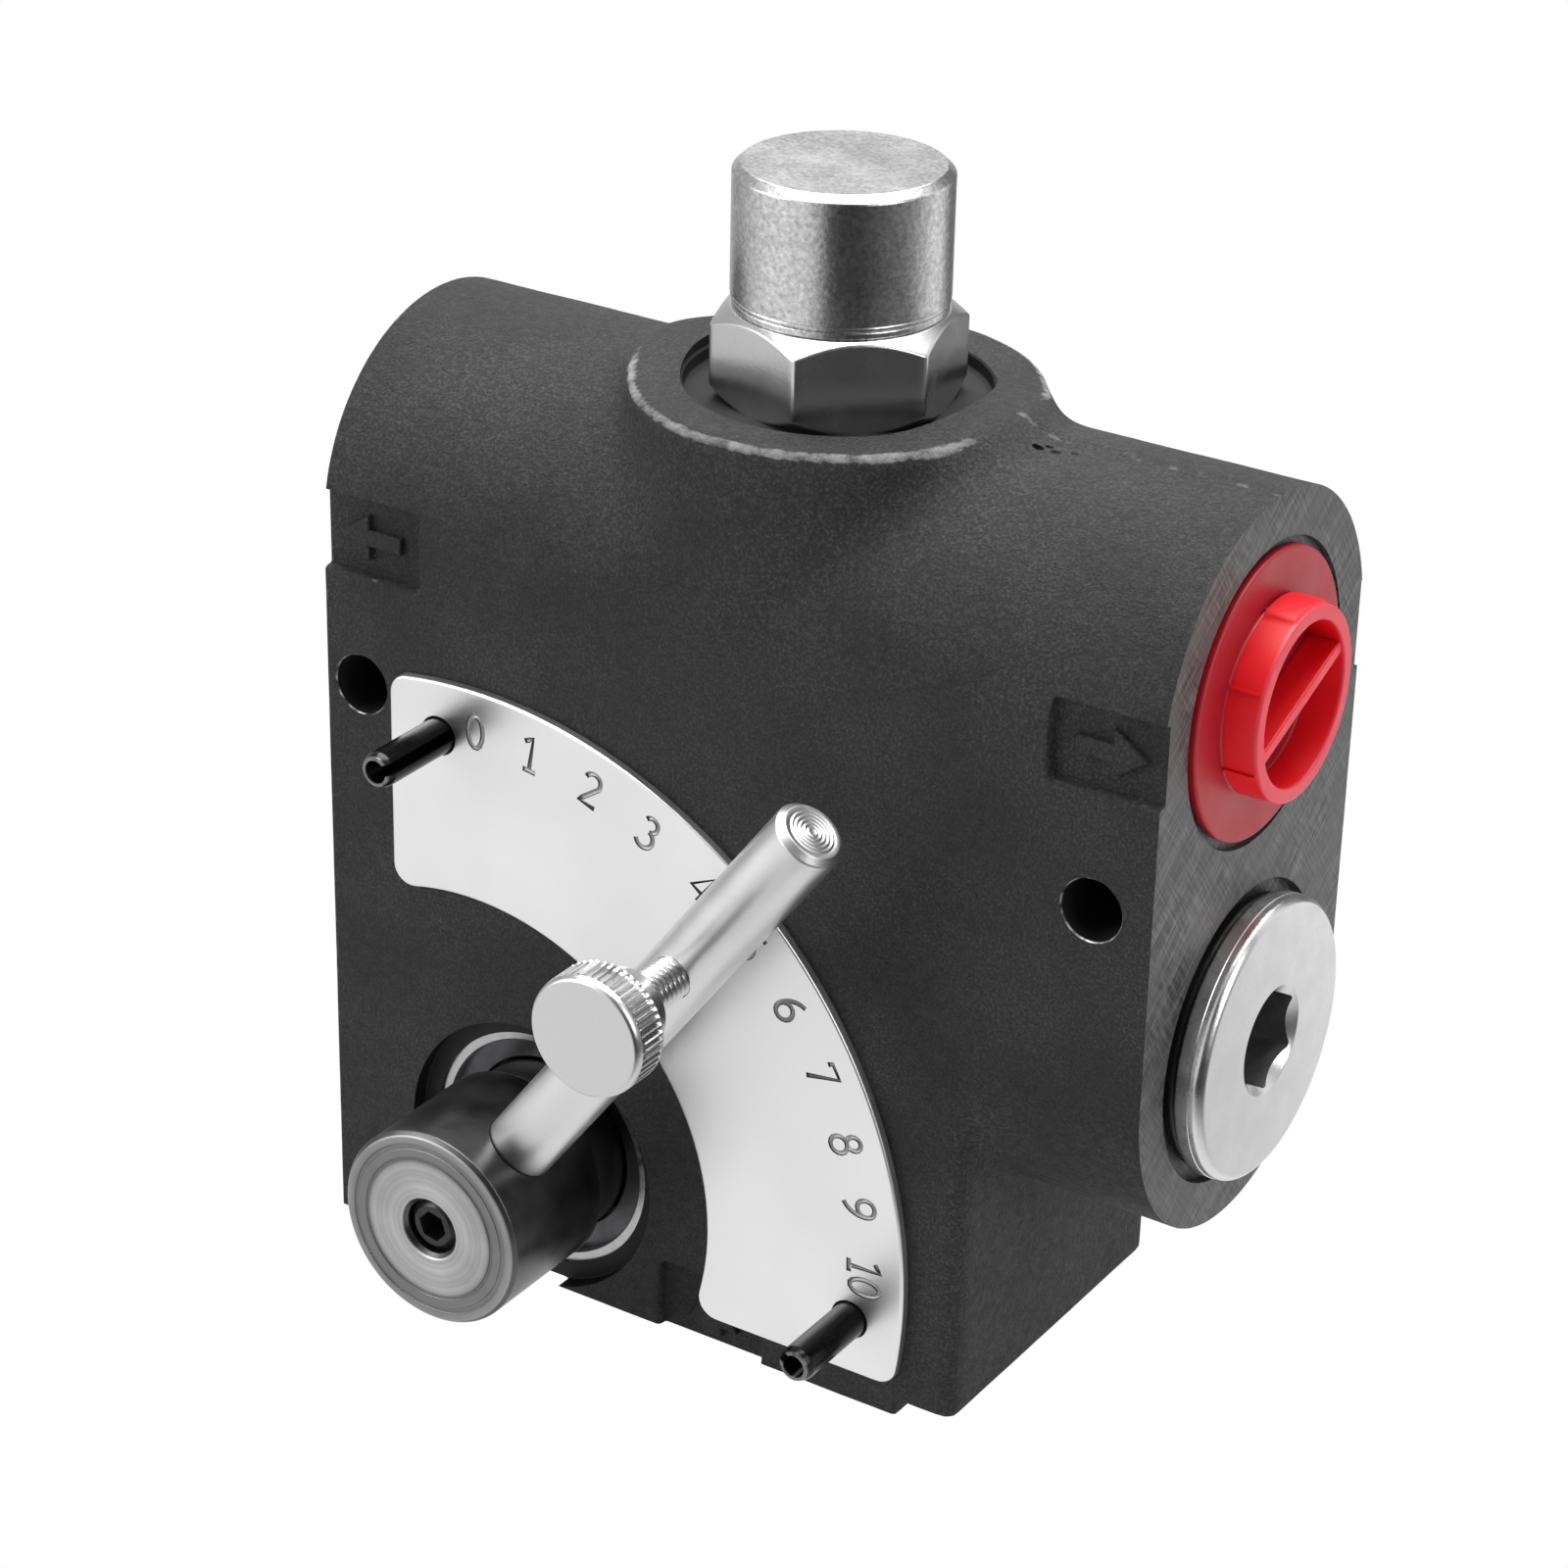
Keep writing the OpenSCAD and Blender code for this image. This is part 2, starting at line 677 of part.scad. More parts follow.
module thumb_screw_head() {
    edge = 0.5;
    color([0.82, 0.82, 0.82])
        at_thumb() difference() {
            union() {
                rod_z(lever_y - collar_back_y, lever_y - head_back_plane_y, thumb_collar_d / 2);
                rod_z(lever_y - head_back_plane_y, lever_y - head_face_y - edge, thumb_head_d / 2);
                translate([0, 0, lever_y - head_face_y - edge])
                    cylinder(r1 = thumb_head_d / 2, r2 = thumb_head_d / 2 - edge, h = edge);
            }
            rod_z(0, lever_y - collar_back_y + stud_embed + seat_gap, thumb_d / 2 + run_gap);
        }
}

// ---------- compensator ----------

module compensator_spool() {
    color([0.6, 0.6, 0.62])
        difference() {
            union() {
                rod_x(spool_left_x, -spool_waist / 2, spool_r, 0, spool_z);
                rod_x(-spool_waist / 2, spool_waist / 2, waist_r, 0, spool_z);
                rod_x(spool_waist / 2, spool_right_x, spool_r, 0, spool_z);
                rod_x(spool_left_x - spool_stub_len, spool_left_x, spool_stub_r, 0, spool_z);
            }
            rod_x(-spool_waist / 4, spool_right_x + 1, spool_core_r, 0, spool_z);
            rod_y(-far / 2, far / 2, spool_cross_r, 0, spool_z);
            rod_z(spool_z - spool_d, spool_z + spool_d, spool_cross_r);
        }
}

module compensator_spring() {
    color([0.5, 0.5, 0.52])
        translate([-plug_inner_x + seat_gap, 0, spool_z]) rotate([0, 90, 0])
            coil_spring(spool_spring_r, spool_wire_r, spool_left_x + plug_inner_x - 2 * seat_gap,
                        spool_spring_turns);
}

// Hollow-hex plug about Z, head outwards at z > 0, z = 0 on the body's end face
module spool_plug(nose) {
    bevel = 0.9;
    head_z = plug_stand;
    difference() {
        union() {
            translate([0, 0, -plug_thread_len + seat_gap])
                cylinder(r = plug_thread_d / 2, h = plug_thread_len + head_z + 1 - seat_gap);
            translate([0, 0, head_z]) cylinder(r = plug_head_d / 2, h = plug_head_t - bevel);
            translate([0, 0, head_z + plug_head_t - bevel])
                cylinder(r1 = plug_head_d / 2, r2 = plug_head_d / 2 - bevel, h = bevel);
            if (nose > 0) translate([0, 0, -plug_thread_len - nose]) difference() {
                cylinder(r = spool_d / 2 - 1, h = nose + 1);
                translate([0, 0, -1]) cylinder(r = spool_core_r + 3, h = nose + 1);
            }
        }
        translate([0, 0, head_z + plug_head_t - plug_hex_depth])
            cylinder(r = plug_hex / sqrt(3), h = plug_hex_depth + 1, $fn = 6);
        translate([0, 0, head_z + plug_head_t - 0.8])
            cylinder(r1 = plug_hex / sqrt(3) - 0.3, r2 = plug_hex / sqrt(3) + 0.6, h = 0.9);
        // undercut under the head, where the seal sits
        translate([0, 0, head_z - plug_undercut_w]) difference() {
            cylinder(r = plug_thread_d / 2 + 1, h = plug_undercut_w);
            translate([0, 0, -1]) cylinder(r = plug_thread_d / 2 - plug_undercut_d, h = plug_undercut_w + 2);
        }
    }
}

module spool_plug_right()
    color([0.8, 0.8, 0.8])
        translate([end_x, 0, spool_z]) rotate([0, 90, 0])
            spool_plug(plug_inner_x - spool_right_x - seat_gap);

module spool_plug_left()
    color([0.8, 0.8, 0.8])
        translate([-end_x, 0, spool_z]) rotate([0, -90, 0]) spool_plug(0);

// Seals the plug against the floor of the counterbore, just under the head
module spool_plug_o_ring(side)
    color([0.08, 0.08, 0.08])
        translate([side * (end_x - plug_recess_depth + plug_o_ring_r + run_gap), 0, spool_z])
            rotate([0, 90, 0]) o_ring(plug_thread_d / 2 + plug_o_ring_r, plug_o_ring_r);

module spool_plug_o_ring_right() spool_plug_o_ring(1);

module spool_plug_o_ring_left() spool_plug_o_ring(-1);

// ---------- relief cartridge ----------

module relief_body() {
    corner_r = relief_hex / sqrt(3);
    color([0.78, 0.78, 0.78])
        difference() {
            union() {
                intersection() {
                    translate([0, 0, relief_z]) rotate(relief_hex_turn) cylinder(r = corner_r, h = relief_hex_h, $fn = 6);
                    hex_turning(corner_r);
                }
                rod_z(relief_thread_z + seat_gap, relief_z + 1, relief_thread_d / 2);
                rod_z(relief_seat_z + relief_seat_t + seat_gap, relief_z, relief_nose_d / 2);
                rod_z(hex_top_z - 1, hex_top_z + neck_h, neck_d / 2);
            }
            rod_z(0, guide_z + guide_h + adjust_back_off + free_gap, relief_bore_d / 2);
            rod_z(0, far, adjust_d / 2 + run_gap);
            for (a = [0, 90])
                rotate(a) rod_x(-far / 2, far / 2, relief_vent_r, 0, port_z);
            // groove for the cartridge's seal
            translate([0, 0, relief_z - relief_seal_w]) difference() {
                cylinder(r = relief_thread_d / 2 + 1, h = relief_seal_w);
                translate([0, 0, -1]) cylinder(r = relief_thread_d / 2 - relief_seal_depth, h = relief_seal_w + 2);
            }
        }
}

// Turned envelope that chamfers the hexagon's corners, steeply on top and lightly below
module hex_turning(corner_r) {
    top_drop = 2.3;
    low_drop = 2;
    flat_r = relief_hex / 2;
    translate([0, 0, relief_z]) rotate_extrude()
        polygon([
            [0, 0], [flat_r + 0.2, 0], [corner_r + 0.1, low_drop], [corner_r + 0.1, relief_hex_h - top_drop],
            [flat_r - 0.6, relief_hex_h], [0, relief_hex_h]
        ]);
}

module relief_body_o_ring()
    color([0.08, 0.08, 0.08])
        translate([0, 0, relief_z - relief_seal_w / 2]) o_ring(relief_thread_d / 2 - relief_seal_r + run_gap, relief_seal_r);

module relief_seat() {
    color([0.55, 0.55, 0.56])
        difference() {
            rod_z(relief_seat_z + seat_gap, relief_seat_z + relief_seat_t, relief_nose_d / 2);
            rod_z(0, far, poppet_seat_d / 2 - 0.7);
            translate([0, 0, relief_seat_z + relief_seat_t - poppet_cone_h])
                cylinder(r1 = poppet_seat_d / 2 - poppet_cone_h, r2 = poppet_seat_d / 2, h = poppet_cone_h + 0.001);
        }
}

module relief_poppet() {
    color([0.65, 0.65, 0.66])
        translate([0, 0, poppet_z]) {
            translate([0, 0, -poppet_cone_h + 0.3])
                cylinder(r1 = poppet_seat_d / 2 - poppet_cone_h, r2 = poppet_seat_d / 2, h = poppet_cone_h);
            translate([0, 0, 0.3]) cylinder(r = poppet_d / 2, h = poppet_h - 0.3);
            cylinder(r = relief_spring_r - relief_wire_r - free_gap, h = poppet_h + poppet_stem_h);
        }
}

module relief_spring() {
    start = poppet_z + poppet_h + seat_gap;
    color([0.5, 0.5, 0.52])
        translate([0, 0, start])
            coil_spring(relief_spring_r, relief_wire_r, guide_z - start - seat_gap, relief_spring_turns);
}

module relief_spring_guide() {
    color([0.6, 0.6, 0.6]) {
        rod_z(guide_z, guide_z + guide_h, relief_bore_d / 2 - relief_guide_gap);
        rod_z(guide_z - 3, guide_z, relief_spring_r - relief_wire_r - free_gap);
    }
}

module relief_adjusting_screw() {
    color([0.3, 0.3, 0.3])
        difference() {
            rod_z(guide_z + guide_h + run_gap, adjust_top_z, adjust_d / 2);
            translate([0, 0, adjust_top_z - adjust_hex_depth])
                cylinder(r = adjust_hex / sqrt(3), h = adjust_hex_depth + 1, $fn = 6);
        }
}

module relief_lock_nut() {
    color([0.7, 0.7, 0.7])
        difference() {
            translate([0, 0, nut_z]) cylinder(r = nut_hex / sqrt(3), h = nut_h, $fn = 6);
            rod_z(0, far, adjust_d / 2 + run_gap);
        }
}

module relief_cap_washer() {
    color([0.75, 0.75, 0.75])
        difference() {
            rod_z(hex_top_z, cap_z, cap_d / 2 - 0.2);
            rod_z(0, far, neck_d / 2 + run_gap);
        }
}

module relief_cap() {
    edge = 1;
    color([0.78, 0.78, 0.78])
        difference() {
            union() {
                rod_z(cap_z, cap_z + cap_h - edge, cap_d / 2);
                translate([0, 0, cap_z + cap_h - edge])
                    cylinder(r1 = cap_d / 2, r2 = cap_d / 2 - edge, h = edge);
            }
            rod_z(0, cap_z + cap_h - cap_top_t, cap_d / 2 - cap_wall);
        }
}

// ---------- plastic plug in the excess-flow port ----------

module ex_port_plug() {
    face_x = end_x + tap_out;
    flange_x = end_x - port_face_depth + seat_gap;
    ring_r = tap_ring_d / 2;
    body_r = port_bore_d / 2 - free_gap;
    web_t = 1.8;
    color([0.85, 0.1, 0.15])
        translate([0, 0, port_z]) {
            difference() {
                union() {
                    rod_x(flange_x, flange_x + tap_flange_t, tap_flange_d / 2);
                    rod_x(flange_x, face_x, ring_r);
                    rod_x(end_x - tap_in, flange_x + 0.5, body_r);
                }
                rod_x(flange_x + tap_flange_t, face_x + 1, ring_r - tap_wall);
                rod_x(end_x - tap_in - 1, flange_x - 0.5, body_r - tap_wall);
            }
            rotate([tap_web_turn, 0, 0])
                translate([flange_x + 1, -ring_r + 1, -web_t / 2])
                    cube([face_x - flange_x - 1.4, 2 * ring_r - 2, web_t]);
        }
}

valve_body();
dial_plate();
stop_pin_zero();
stop_pin_ten();
control_shaft();
control_lever();
lever_set_screw();
shaft_o_rings();
shaft_thrust_washer();
shaft_retaining_ring();
thumb_screw_stud();
thumb_screw_head();
compensator_spool();
compensator_spring();
spool_plug_right();
spool_plug_left();
spool_plug_o_ring_right();
spool_plug_o_ring_left();
relief_body();
relief_body_o_ring();
relief_seat();
relief_poppet();
relief_spring();
relief_spring_guide();
relief_adjusting_screw();
relief_lock_nut();
relief_cap_washer();
relief_cap();
ex_port_plug();
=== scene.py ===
# Flow control valve with a hand lever over a numbered dial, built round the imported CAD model.
# Each section makes one piece or group of like pieces. Meshes are made in mm and put in place in metres.
import math

import bpy
import numpy as np
from mathutils import Matrix, Vector, noise


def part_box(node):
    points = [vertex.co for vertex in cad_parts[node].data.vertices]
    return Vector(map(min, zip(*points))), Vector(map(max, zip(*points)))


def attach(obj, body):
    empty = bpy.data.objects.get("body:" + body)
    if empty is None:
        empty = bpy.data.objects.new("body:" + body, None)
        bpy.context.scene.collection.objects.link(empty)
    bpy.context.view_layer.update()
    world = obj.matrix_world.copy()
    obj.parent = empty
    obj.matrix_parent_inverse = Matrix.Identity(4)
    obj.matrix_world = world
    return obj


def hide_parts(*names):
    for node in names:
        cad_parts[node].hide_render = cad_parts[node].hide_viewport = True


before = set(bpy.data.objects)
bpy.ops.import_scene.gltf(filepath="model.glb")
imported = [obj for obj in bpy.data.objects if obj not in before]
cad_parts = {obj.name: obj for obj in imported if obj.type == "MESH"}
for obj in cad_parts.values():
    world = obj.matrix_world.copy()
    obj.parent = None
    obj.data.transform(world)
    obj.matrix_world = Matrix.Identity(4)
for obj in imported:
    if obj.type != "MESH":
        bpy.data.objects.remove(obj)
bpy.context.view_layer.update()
MM = 0.001

# ---------- studio ----------
# The camera sees a white table and surround. Polished metal sees one whose brightness changes with
# compass turn, dark on the camera's side, which gives the plated parts their bands. Three soft boxes.

TARGET = Vector((-8.70, 2.65, 73.1)) * MM
AZIMUTH, ELEVATION, ROLL = (math.radians(a) for a in (32.447, 26.216, 1.322))
DISTANCE = 597.7 * MM
# brightness of the surround by compass turn in degrees, from -180 at the left to 180
SURROUND = [
    (-180, 0.50), (-160, 0.72), (-130, 1.0), (-92, 0.9), (-80, 0.5), (-73, 0.06), (-46, 0.045),
    (-38, 0.045), (-8, 0.11), (4, 0.14), (24, 0.4), (46, 1.0), (63, 1.0), (74, 0.25), (95, 0.12), (112, 0.6),
    (135, 0.66), (160, 0.4), (180, 0.50),
]


def linear(hex_colour):
    """An sRGB hex value as the linear colour that a socket takes."""
    levels = [int(hex_colour[i : i + 2], 16) / 255 for i in (0, 2, 4)]
    return (*[c / 12.92 if c <= 0.04045 else ((c + 0.055) / 1.055) ** 2.4 for c in levels], 1.0)


def add(tree, kind, settings=None, **inputs):
    """Adds a node, sets its properties, and sets or links its inputs by name, or by place as in1."""
    made = tree.nodes.new(kind)
    for key, value in (settings or {}).items():
        setattr(made, key, value)
    for key, value in inputs.items():
        place = key[2:] if key.startswith("in") else ""
        socket = made.inputs[int(place)] if place.isdigit() else made.inputs[key.replace("_", " ")]
        if isinstance(value, bpy.types.Node):
            value = next(s for s in value.outputs if s.enabled)
        if isinstance(value, bpy.types.NodeSocket):
            tree.links.new(value, socket)
        else:
            socket.default_value = value
    return made


def surround_level(tree, direction):
    """The surround's brightness towards a direction, from its compass turn."""
    parts = add(tree, "ShaderNodeSeparateXYZ", None, Vector=direction)
    turn = add(tree, "ShaderNodeMath", {"operation": "ARCTAN2"}, in0=parts.outputs["Y"],
               in1=parts.outputs["X"])
    place = add(tree, "ShaderNodeMapRange", None, Value=turn, From_Min=-math.pi, From_Max=math.pi)
    ramp = add(tree, "ShaderNodeValToRGB", None, Fac=place)
    stops = ramp.color_ramp.elements
    for k, (degrees, level) in enumerate(SURROUND):
        at = (degrees + 180) / 360
        stop = stops[k] if k < 2 else stops.new(at)
        stop.position, stop.color = at, (level, level, level, 1)
    return ramp


world = bpy.data.worlds.new("studio_surround")
bpy.context.scene.world = world
world.use_nodes = True
tree = world.node_tree
tree.nodes.clear()
ray = add(tree, "ShaderNodeLightPath")
sky_way = add(tree, "ShaderNodeTexCoord").outputs["Generated"]
seen = add(tree, "ShaderNodeMath", {"operation": "MAXIMUM"},
           in0=ray.outputs["Is Camera Ray"], in1=ray.outputs["Is Transmission Ray"])
fill = add(tree, "ShaderNodeBackground", None, Color=linear("ffffff"), Strength=0.3)
white = add(tree, "ShaderNodeBackground", None, Color=linear("ffffff"), Strength=1.0)
banded = add(tree, "ShaderNodeBackground", None, Color=surround_level(tree, sky_way), Strength=1.0)
for_gloss = add(tree, "ShaderNodeMixShader", None, Fac=ray.outputs["Is Glossy Ray"], in1=fill, in2=banded)
for_eye = add(tree, "ShaderNodeMixShader", None, Fac=seen, in1=for_gloss, in2=white)
add(tree, "ShaderNodeOutputWorld", None, Surface=for_eye)

table_size = 6.0
bpy.ops.mesh.primitive_plane_add(size=table_size, location=(0, 0, 0))
table = bpy.context.object
table.name = "studio_table"
table_paint = bpy.data.materials.new("white_paper_sweep")
table_paint.use_nodes = True
tree = table_paint.node_tree
tree.nodes.clear()
ray = add(tree, "ShaderNodeLightPath")
here = add(tree, "ShaderNodeTexCoord").outputs["Object"]
how_far = add(tree, "ShaderNodeVectorMath", {"operation": "LENGTH"}, in0=here).outputs["Value"]
far_off = add(tree, "ShaderNodeMapRange", None, Value=how_far, From_Min=0.09, From_Max=0.17)
seen_level = add(tree, "ShaderNodeMix", {"data_type": "RGBA"}, Factor=far_off, in6=(0.96, 0.96, 0.96, 1),
                 in7=surround_level(tree, here))
paper = add(tree, "ShaderNodeBsdfDiffuse", None, Color=linear("f4f4f4"))
seen = add(tree, "ShaderNodeMath", {"operation": "MAXIMUM"},
           in0=ray.outputs["Is Camera Ray"], in1=ray.outputs["Is Transmission Ray"])
bleached = add(tree, "ShaderNodeEmission", None, Color=linear("ffffff"), Strength=1.0)
sheet = add(tree, "ShaderNodeMixShader", None, Fac=seen, in1=paper, in2=bleached)
mirror_side = add(tree, "ShaderNodeEmission", None, Color=seen_level.outputs[2], Strength=1.0)
both = add(tree, "ShaderNodeMixShader", None, Fac=ray.outputs["Is Glossy Ray"], in1=sheet, in2=mirror_side)
add(tree, "ShaderNodeOutputMaterial", None, Surface=both)
table.data.materials.append(table_paint)

# name, place, aim, width, height, power
SOFT_BOXES = [
    ("overhead_box", (-0.10, 0.20, 0.95), (0.0, 0.0, 0.08), 0.9, 0.8, 24.0),
    ("left_box", (-0.75, -0.75, 0.55), (0.0, 0.0, 0.07), 0.6, 0.8, 7.0),
    ("right_box", (0.95, -0.15, 0.55), (0.03, 0.0, 0.08), 0.5, 0.8, 4.0),
]
for name, place, aim, width, height, power in SOFT_BOXES:
    lamp = bpy.data.lights.new(name, "AREA")
    lamp.shape, lamp.size, lamp.size_y, lamp.energy = "RECTANGLE", width, height, power
    holder = bpy.data.objects.new(name, lamp)
    bpy.context.scene.collection.objects.link(holder)
    holder.location = place
    holder.rotation_euler = (Vector(aim) - Vector(place)).to_track_quat("-Z", "Y").to_euler()

back = Vector((math.sin(AZIMUTH) * math.cos(ELEVATION), -math.cos(AZIMUTH) * math.cos(ELEVATION),
               math.sin(ELEVATION)))
right = Vector((math.cos(AZIMUTH), math.sin(AZIMUTH), 0))
up = back.cross(right)
rolled_right = right * math.cos(ROLL) + up * math.sin(ROLL)
rolled_up = up * math.cos(ROLL) - right * math.sin(ROLL)
camera = bpy.data.objects.new("camera", bpy.data.cameras.new("camera"))
bpy.context.scene.collection.objects.link(camera)
camera.data.lens, camera.data.sensor_width = 98.66, 36
camera.data.clip_start = 0.01
turn = Matrix((rolled_right, rolled_up, back)).transposed().to_4x4()
camera.matrix_world = Matrix.Translation(TARGET + back * DISTANCE) @ turn
bpy.context.scene.camera = camera
bpy.context.scene.view_settings.view_transform = "Standard"

# ---------- casting ----------
# The body is one grey iron sand casting, black phosphated, with its skin left as cast.
# Ends, bottom, ports, spotfaces and bores are machined after casting.

END_X, FRONT_Y, LOBE_R = 65.0, -27.35, 27.35
PORT_Z, SPOOL_Z = 108.0, 59.0
BLOCK_RIGHT, BLOCK_EDGE = 39.7, 2.5
STEP_X, STEP_Z = 30.7, 2.3
BOSS_R, BOSS_Z, BOSS_EDGE = 27.7, 136.05, 1.5
GROIN = 7.0  # blend between the boss or the block and the lobes
SPARE = 3.0  # cast stock that the end and bottom cuts take off
PARTING_Y, PARTING_STEP = 0.6, 0.45
NET_PITCH = 1.0


def rounded_pair(a, b, edge):
    """Distance to where two walls meet in an outside edge of the given radius."""
    a, b = a + edge, b + edge
    return np.minimum(np.maximum(a, b), 0) + np.hypot(np.maximum(a, 0), np.maximum(b, 0)) - edge


def blended(a, b, reach):
    """Union of two distances with a fillet that grows with reach."""
    reach = np.maximum(reach, 1e-3)
    near = np.maximum(reach - np.abs(a - b), 0) / reach
    return np.minimum(a, b) - near * near * reach / 4


def casting_skin(x, y, z):
    """Distance in mm to the skin of the raw casting, below zero inside."""
    core_z = np.clip(z, SPOOL_Z, PORT_Z)
    out = np.maximum(np.hypot(y, z - core_z), 1e-6)
    lobes = out - LOBE_R
    # the front mould half sits a little low along the top right
    slipped = np.clip((x - 26) / 3, 0, 1) * (z > PORT_Z) * np.exp(-(((y - PARTING_Y) / 9) ** 2))
    lobes = lobes + PARTING_STEP * slipped / (1 + np.exp(np.clip((y - PARTING_Y) / 0.25, -40, 40)))
    lobes = np.maximum(lobes, np.abs(x) - END_X - SPARE)
    wide = np.maximum(np.hypot(x, y), 1e-6)
    boss_r = BOSS_R - 0.6 * np.clip((PORT_Z + 4 - z) / 8, 0, 1)
    boss = rounded_pair(wide - boss_r, z - BOSS_Z, BOSS_EDGE)
    alike = np.clip((y / wide) * (y / out), 0, 1)
    body = blended(lobes, boss, GROIN * (1 - alike))
    middle, half = (BLOCK_RIGHT - END_X - SPARE) / 2, (BLOCK_RIGHT + END_X + SPARE) / 2
    block = rounded_pair(np.abs(x - middle) - half, np.abs(y) - LOBE_R, BLOCK_EDGE)
    block = np.maximum(block, z - SPOOL_Z)
    notch = np.maximum(STEP_X - x, z - STEP_Z)
    block = rounded_pair(block, -notch, 0.6)
    block = np.maximum(block, -z - SPARE)
    facing = np.clip(np.where(x > BLOCK_RIGHT - BLOCK_EDGE, (BLOCK_RIGHT + 1 - x) / 3, 1), 0, 1)
    return blended(body, block, 0.5 * GROIN * (1 - facing))


def steepest(skin, points):
    """The slope of a distance at each point, measured over a small step each way."""
    reach = 0.02
    ways = np.eye(3) * reach
    return np.stack([(skin(*(points + w).T) - skin(*(points - w).T)) / (2 * reach) for w in ways], 1)


def surface_net(skin, low, high, pitch):
    """Points and quads on the zero level of a distance, one point in each cell that the skin crosses."""
    lines = [np.arange(a, b, pitch) for a, b in zip(low, high)]
    inside = skin(*np.meshgrid(*lines, indexing="ij")) < 0
    cells = tuple(n - 1 for n in inside.shape)
    filled = np.zeros(cells, int)
    for i, j, k in np.ndindex(2, 2, 2):
        filled += inside[i : cells[0] + i, j : cells[1] + j, k : cells[2] + k]
    mixed = (filled > 0) & (filled < 8)
    number = np.full(cells, -1)
    number[mixed] = np.arange(mixed.sum())
    points = np.array(low) + pitch * (np.argwhere(mixed) + 0.5)
    for _ in range(10):
        slope = steepest(skin, points)
        pull = -skin(*points.T)[:, None] * slope / np.maximum((slope**2).sum(1), 0.05)[:, None]
        points = points + np.clip(pull, -0.4 * pitch, 0.4 * pitch)
    quads = []
    for axis in range(3):
        u, v = np.eye(3, dtype=int)[(axis + 1) % 3], np.eye(3, dtype=int)[(axis + 2) % 3]
        ahead = np.roll(inside, -1, axis) != inside
        edge = np.argwhere(ahead)
        edge = edge[edge[:, axis] < cells[axis]]
        ring = [number[tuple((edge - a * u - b * v).T)] for a, b in ((0, 0), (1, 0), (1, 1), (0, 1))]
        ring = np.stack(ring, 1)
        flip = ~inside[tuple(edge.T)]
        ring[flip] = ring[flip][:, ::-1]
        quads.append(ring)
    return points, np.concatenate(quads)


def mesh_piece(name, points, faces, *finishes):
    """A new object from points in mm and faces."""
    mesh = bpy.data.meshes.new(name)
    mesh.from_pydata([tuple(p) for p in points], [], [tuple(int(i) for i in f) for f in faces])
    mesh.validate()
    for finish in finishes:
        mesh.materials.append(finish)
    piece = bpy.data.objects.new(name, mesh)
    bpy.context.scene.collection.objects.link(piece)
    return piece


def eased(*corners, steps=4):
    """A turned profile of (radius, height) points; a third number rounds that corner to so many mm."""
    line = []
    for i, corner in enumerate(corners):
        here = Vector(corner[:2])
        if len(corner) == 2 or i in (0, len(corners) - 1):
            line.append(tuple(here))
            continue
        before, after = (Vector(corners[i + s][:2]) - here for s in (-1, 1))
        half = before.angle(after) / 2
        reach = corner[2] / math.tan(half)
        a, b = before.normalized(), after.normalized()
        centre = here + (a + b).normalized() * (corner[2] / math.sin(half))
        start, end = here + a * reach - centre, here + b * reach - centre
        hold = 0.12
        if before.length > reach + 3 * hold:
            line.append(tuple(centre + start + a * hold))
        for k in range(steps + 1):
            line.append(tuple(centre + start.slerp(end, k / steps) * corner[2]))
        if after.length > reach + 3 * hold:
            line.append(tuple(centre + end + b * hold))
    return line


def axis_frame(axis, at=(0, 0, 0), spin=0.0):
    """Puts the local Z axis along an axis, with its origin at a point in mm, after a spin in degrees."""
    tilt = Vector((0, 0, 1)).rotation_difference(Vector(axis)).to_matrix().to_4x4()
    return Matrix.Translation(at) @ tilt @ Matrix.Rotation(math.radians(spin), 4, "Z")


def turned(name, profile, *finishes, steps=96, place=None, closed=False, shape=None):
    """A lathe part about Z. shape(turn, radius, height) may change the radius round the part."""
    points, faces, rings = [], [], []
    for r, h in profile:
        if r < 1e-6:
            rings.append([len(points)] * steps)
            points.append((0, 0, h))
            continue
        rings.append(list(range(len(points), len(points) + steps)))
        for k in range(steps):
            t = 2 * math.pi * k / steps
            rr = shape(t, r, h) if shape else r
            points.append((rr * math.cos(t), rr * math.sin(t), h))
    pairs = list(zip(rings, rings[1:] + ([rings[0]] if closed else [])))
    for low, high in pairs[: len(rings) if closed else len(rings) - 1]:
        for k in range(steps):
            n = (k + 1) % steps
            corner = [low[k], low[n], high[n], high[k]]
            corner = [c for i, c in enumerate(corner) if c not in corner[:i]]
            if len(corner) > 2:
                faces.append(corner)
    piece = mesh_piece(name, points, faces, *finishes)
    face_outwards(piece)
    if place is not None:
        piece.data.transform(place)
    return piece


def face_outwards(piece):
    """Turns a closed mesh the right way out, from the sign of its volume."""
    mesh = piece.data
    mesh.calc_loop_triangles()
    co = np.array([v.co for v in mesh.vertices])
    tri = np.array([t.vertices for t in mesh.loop_triangles])
    a, b, c = co[tri[:, 0]], co[tri[:, 1]], co[tri[:, 2]]
    if np.einsum("ij,ij->i", a, np.cross(b, c)).sum() < 0:
        mesh.flip_normals()


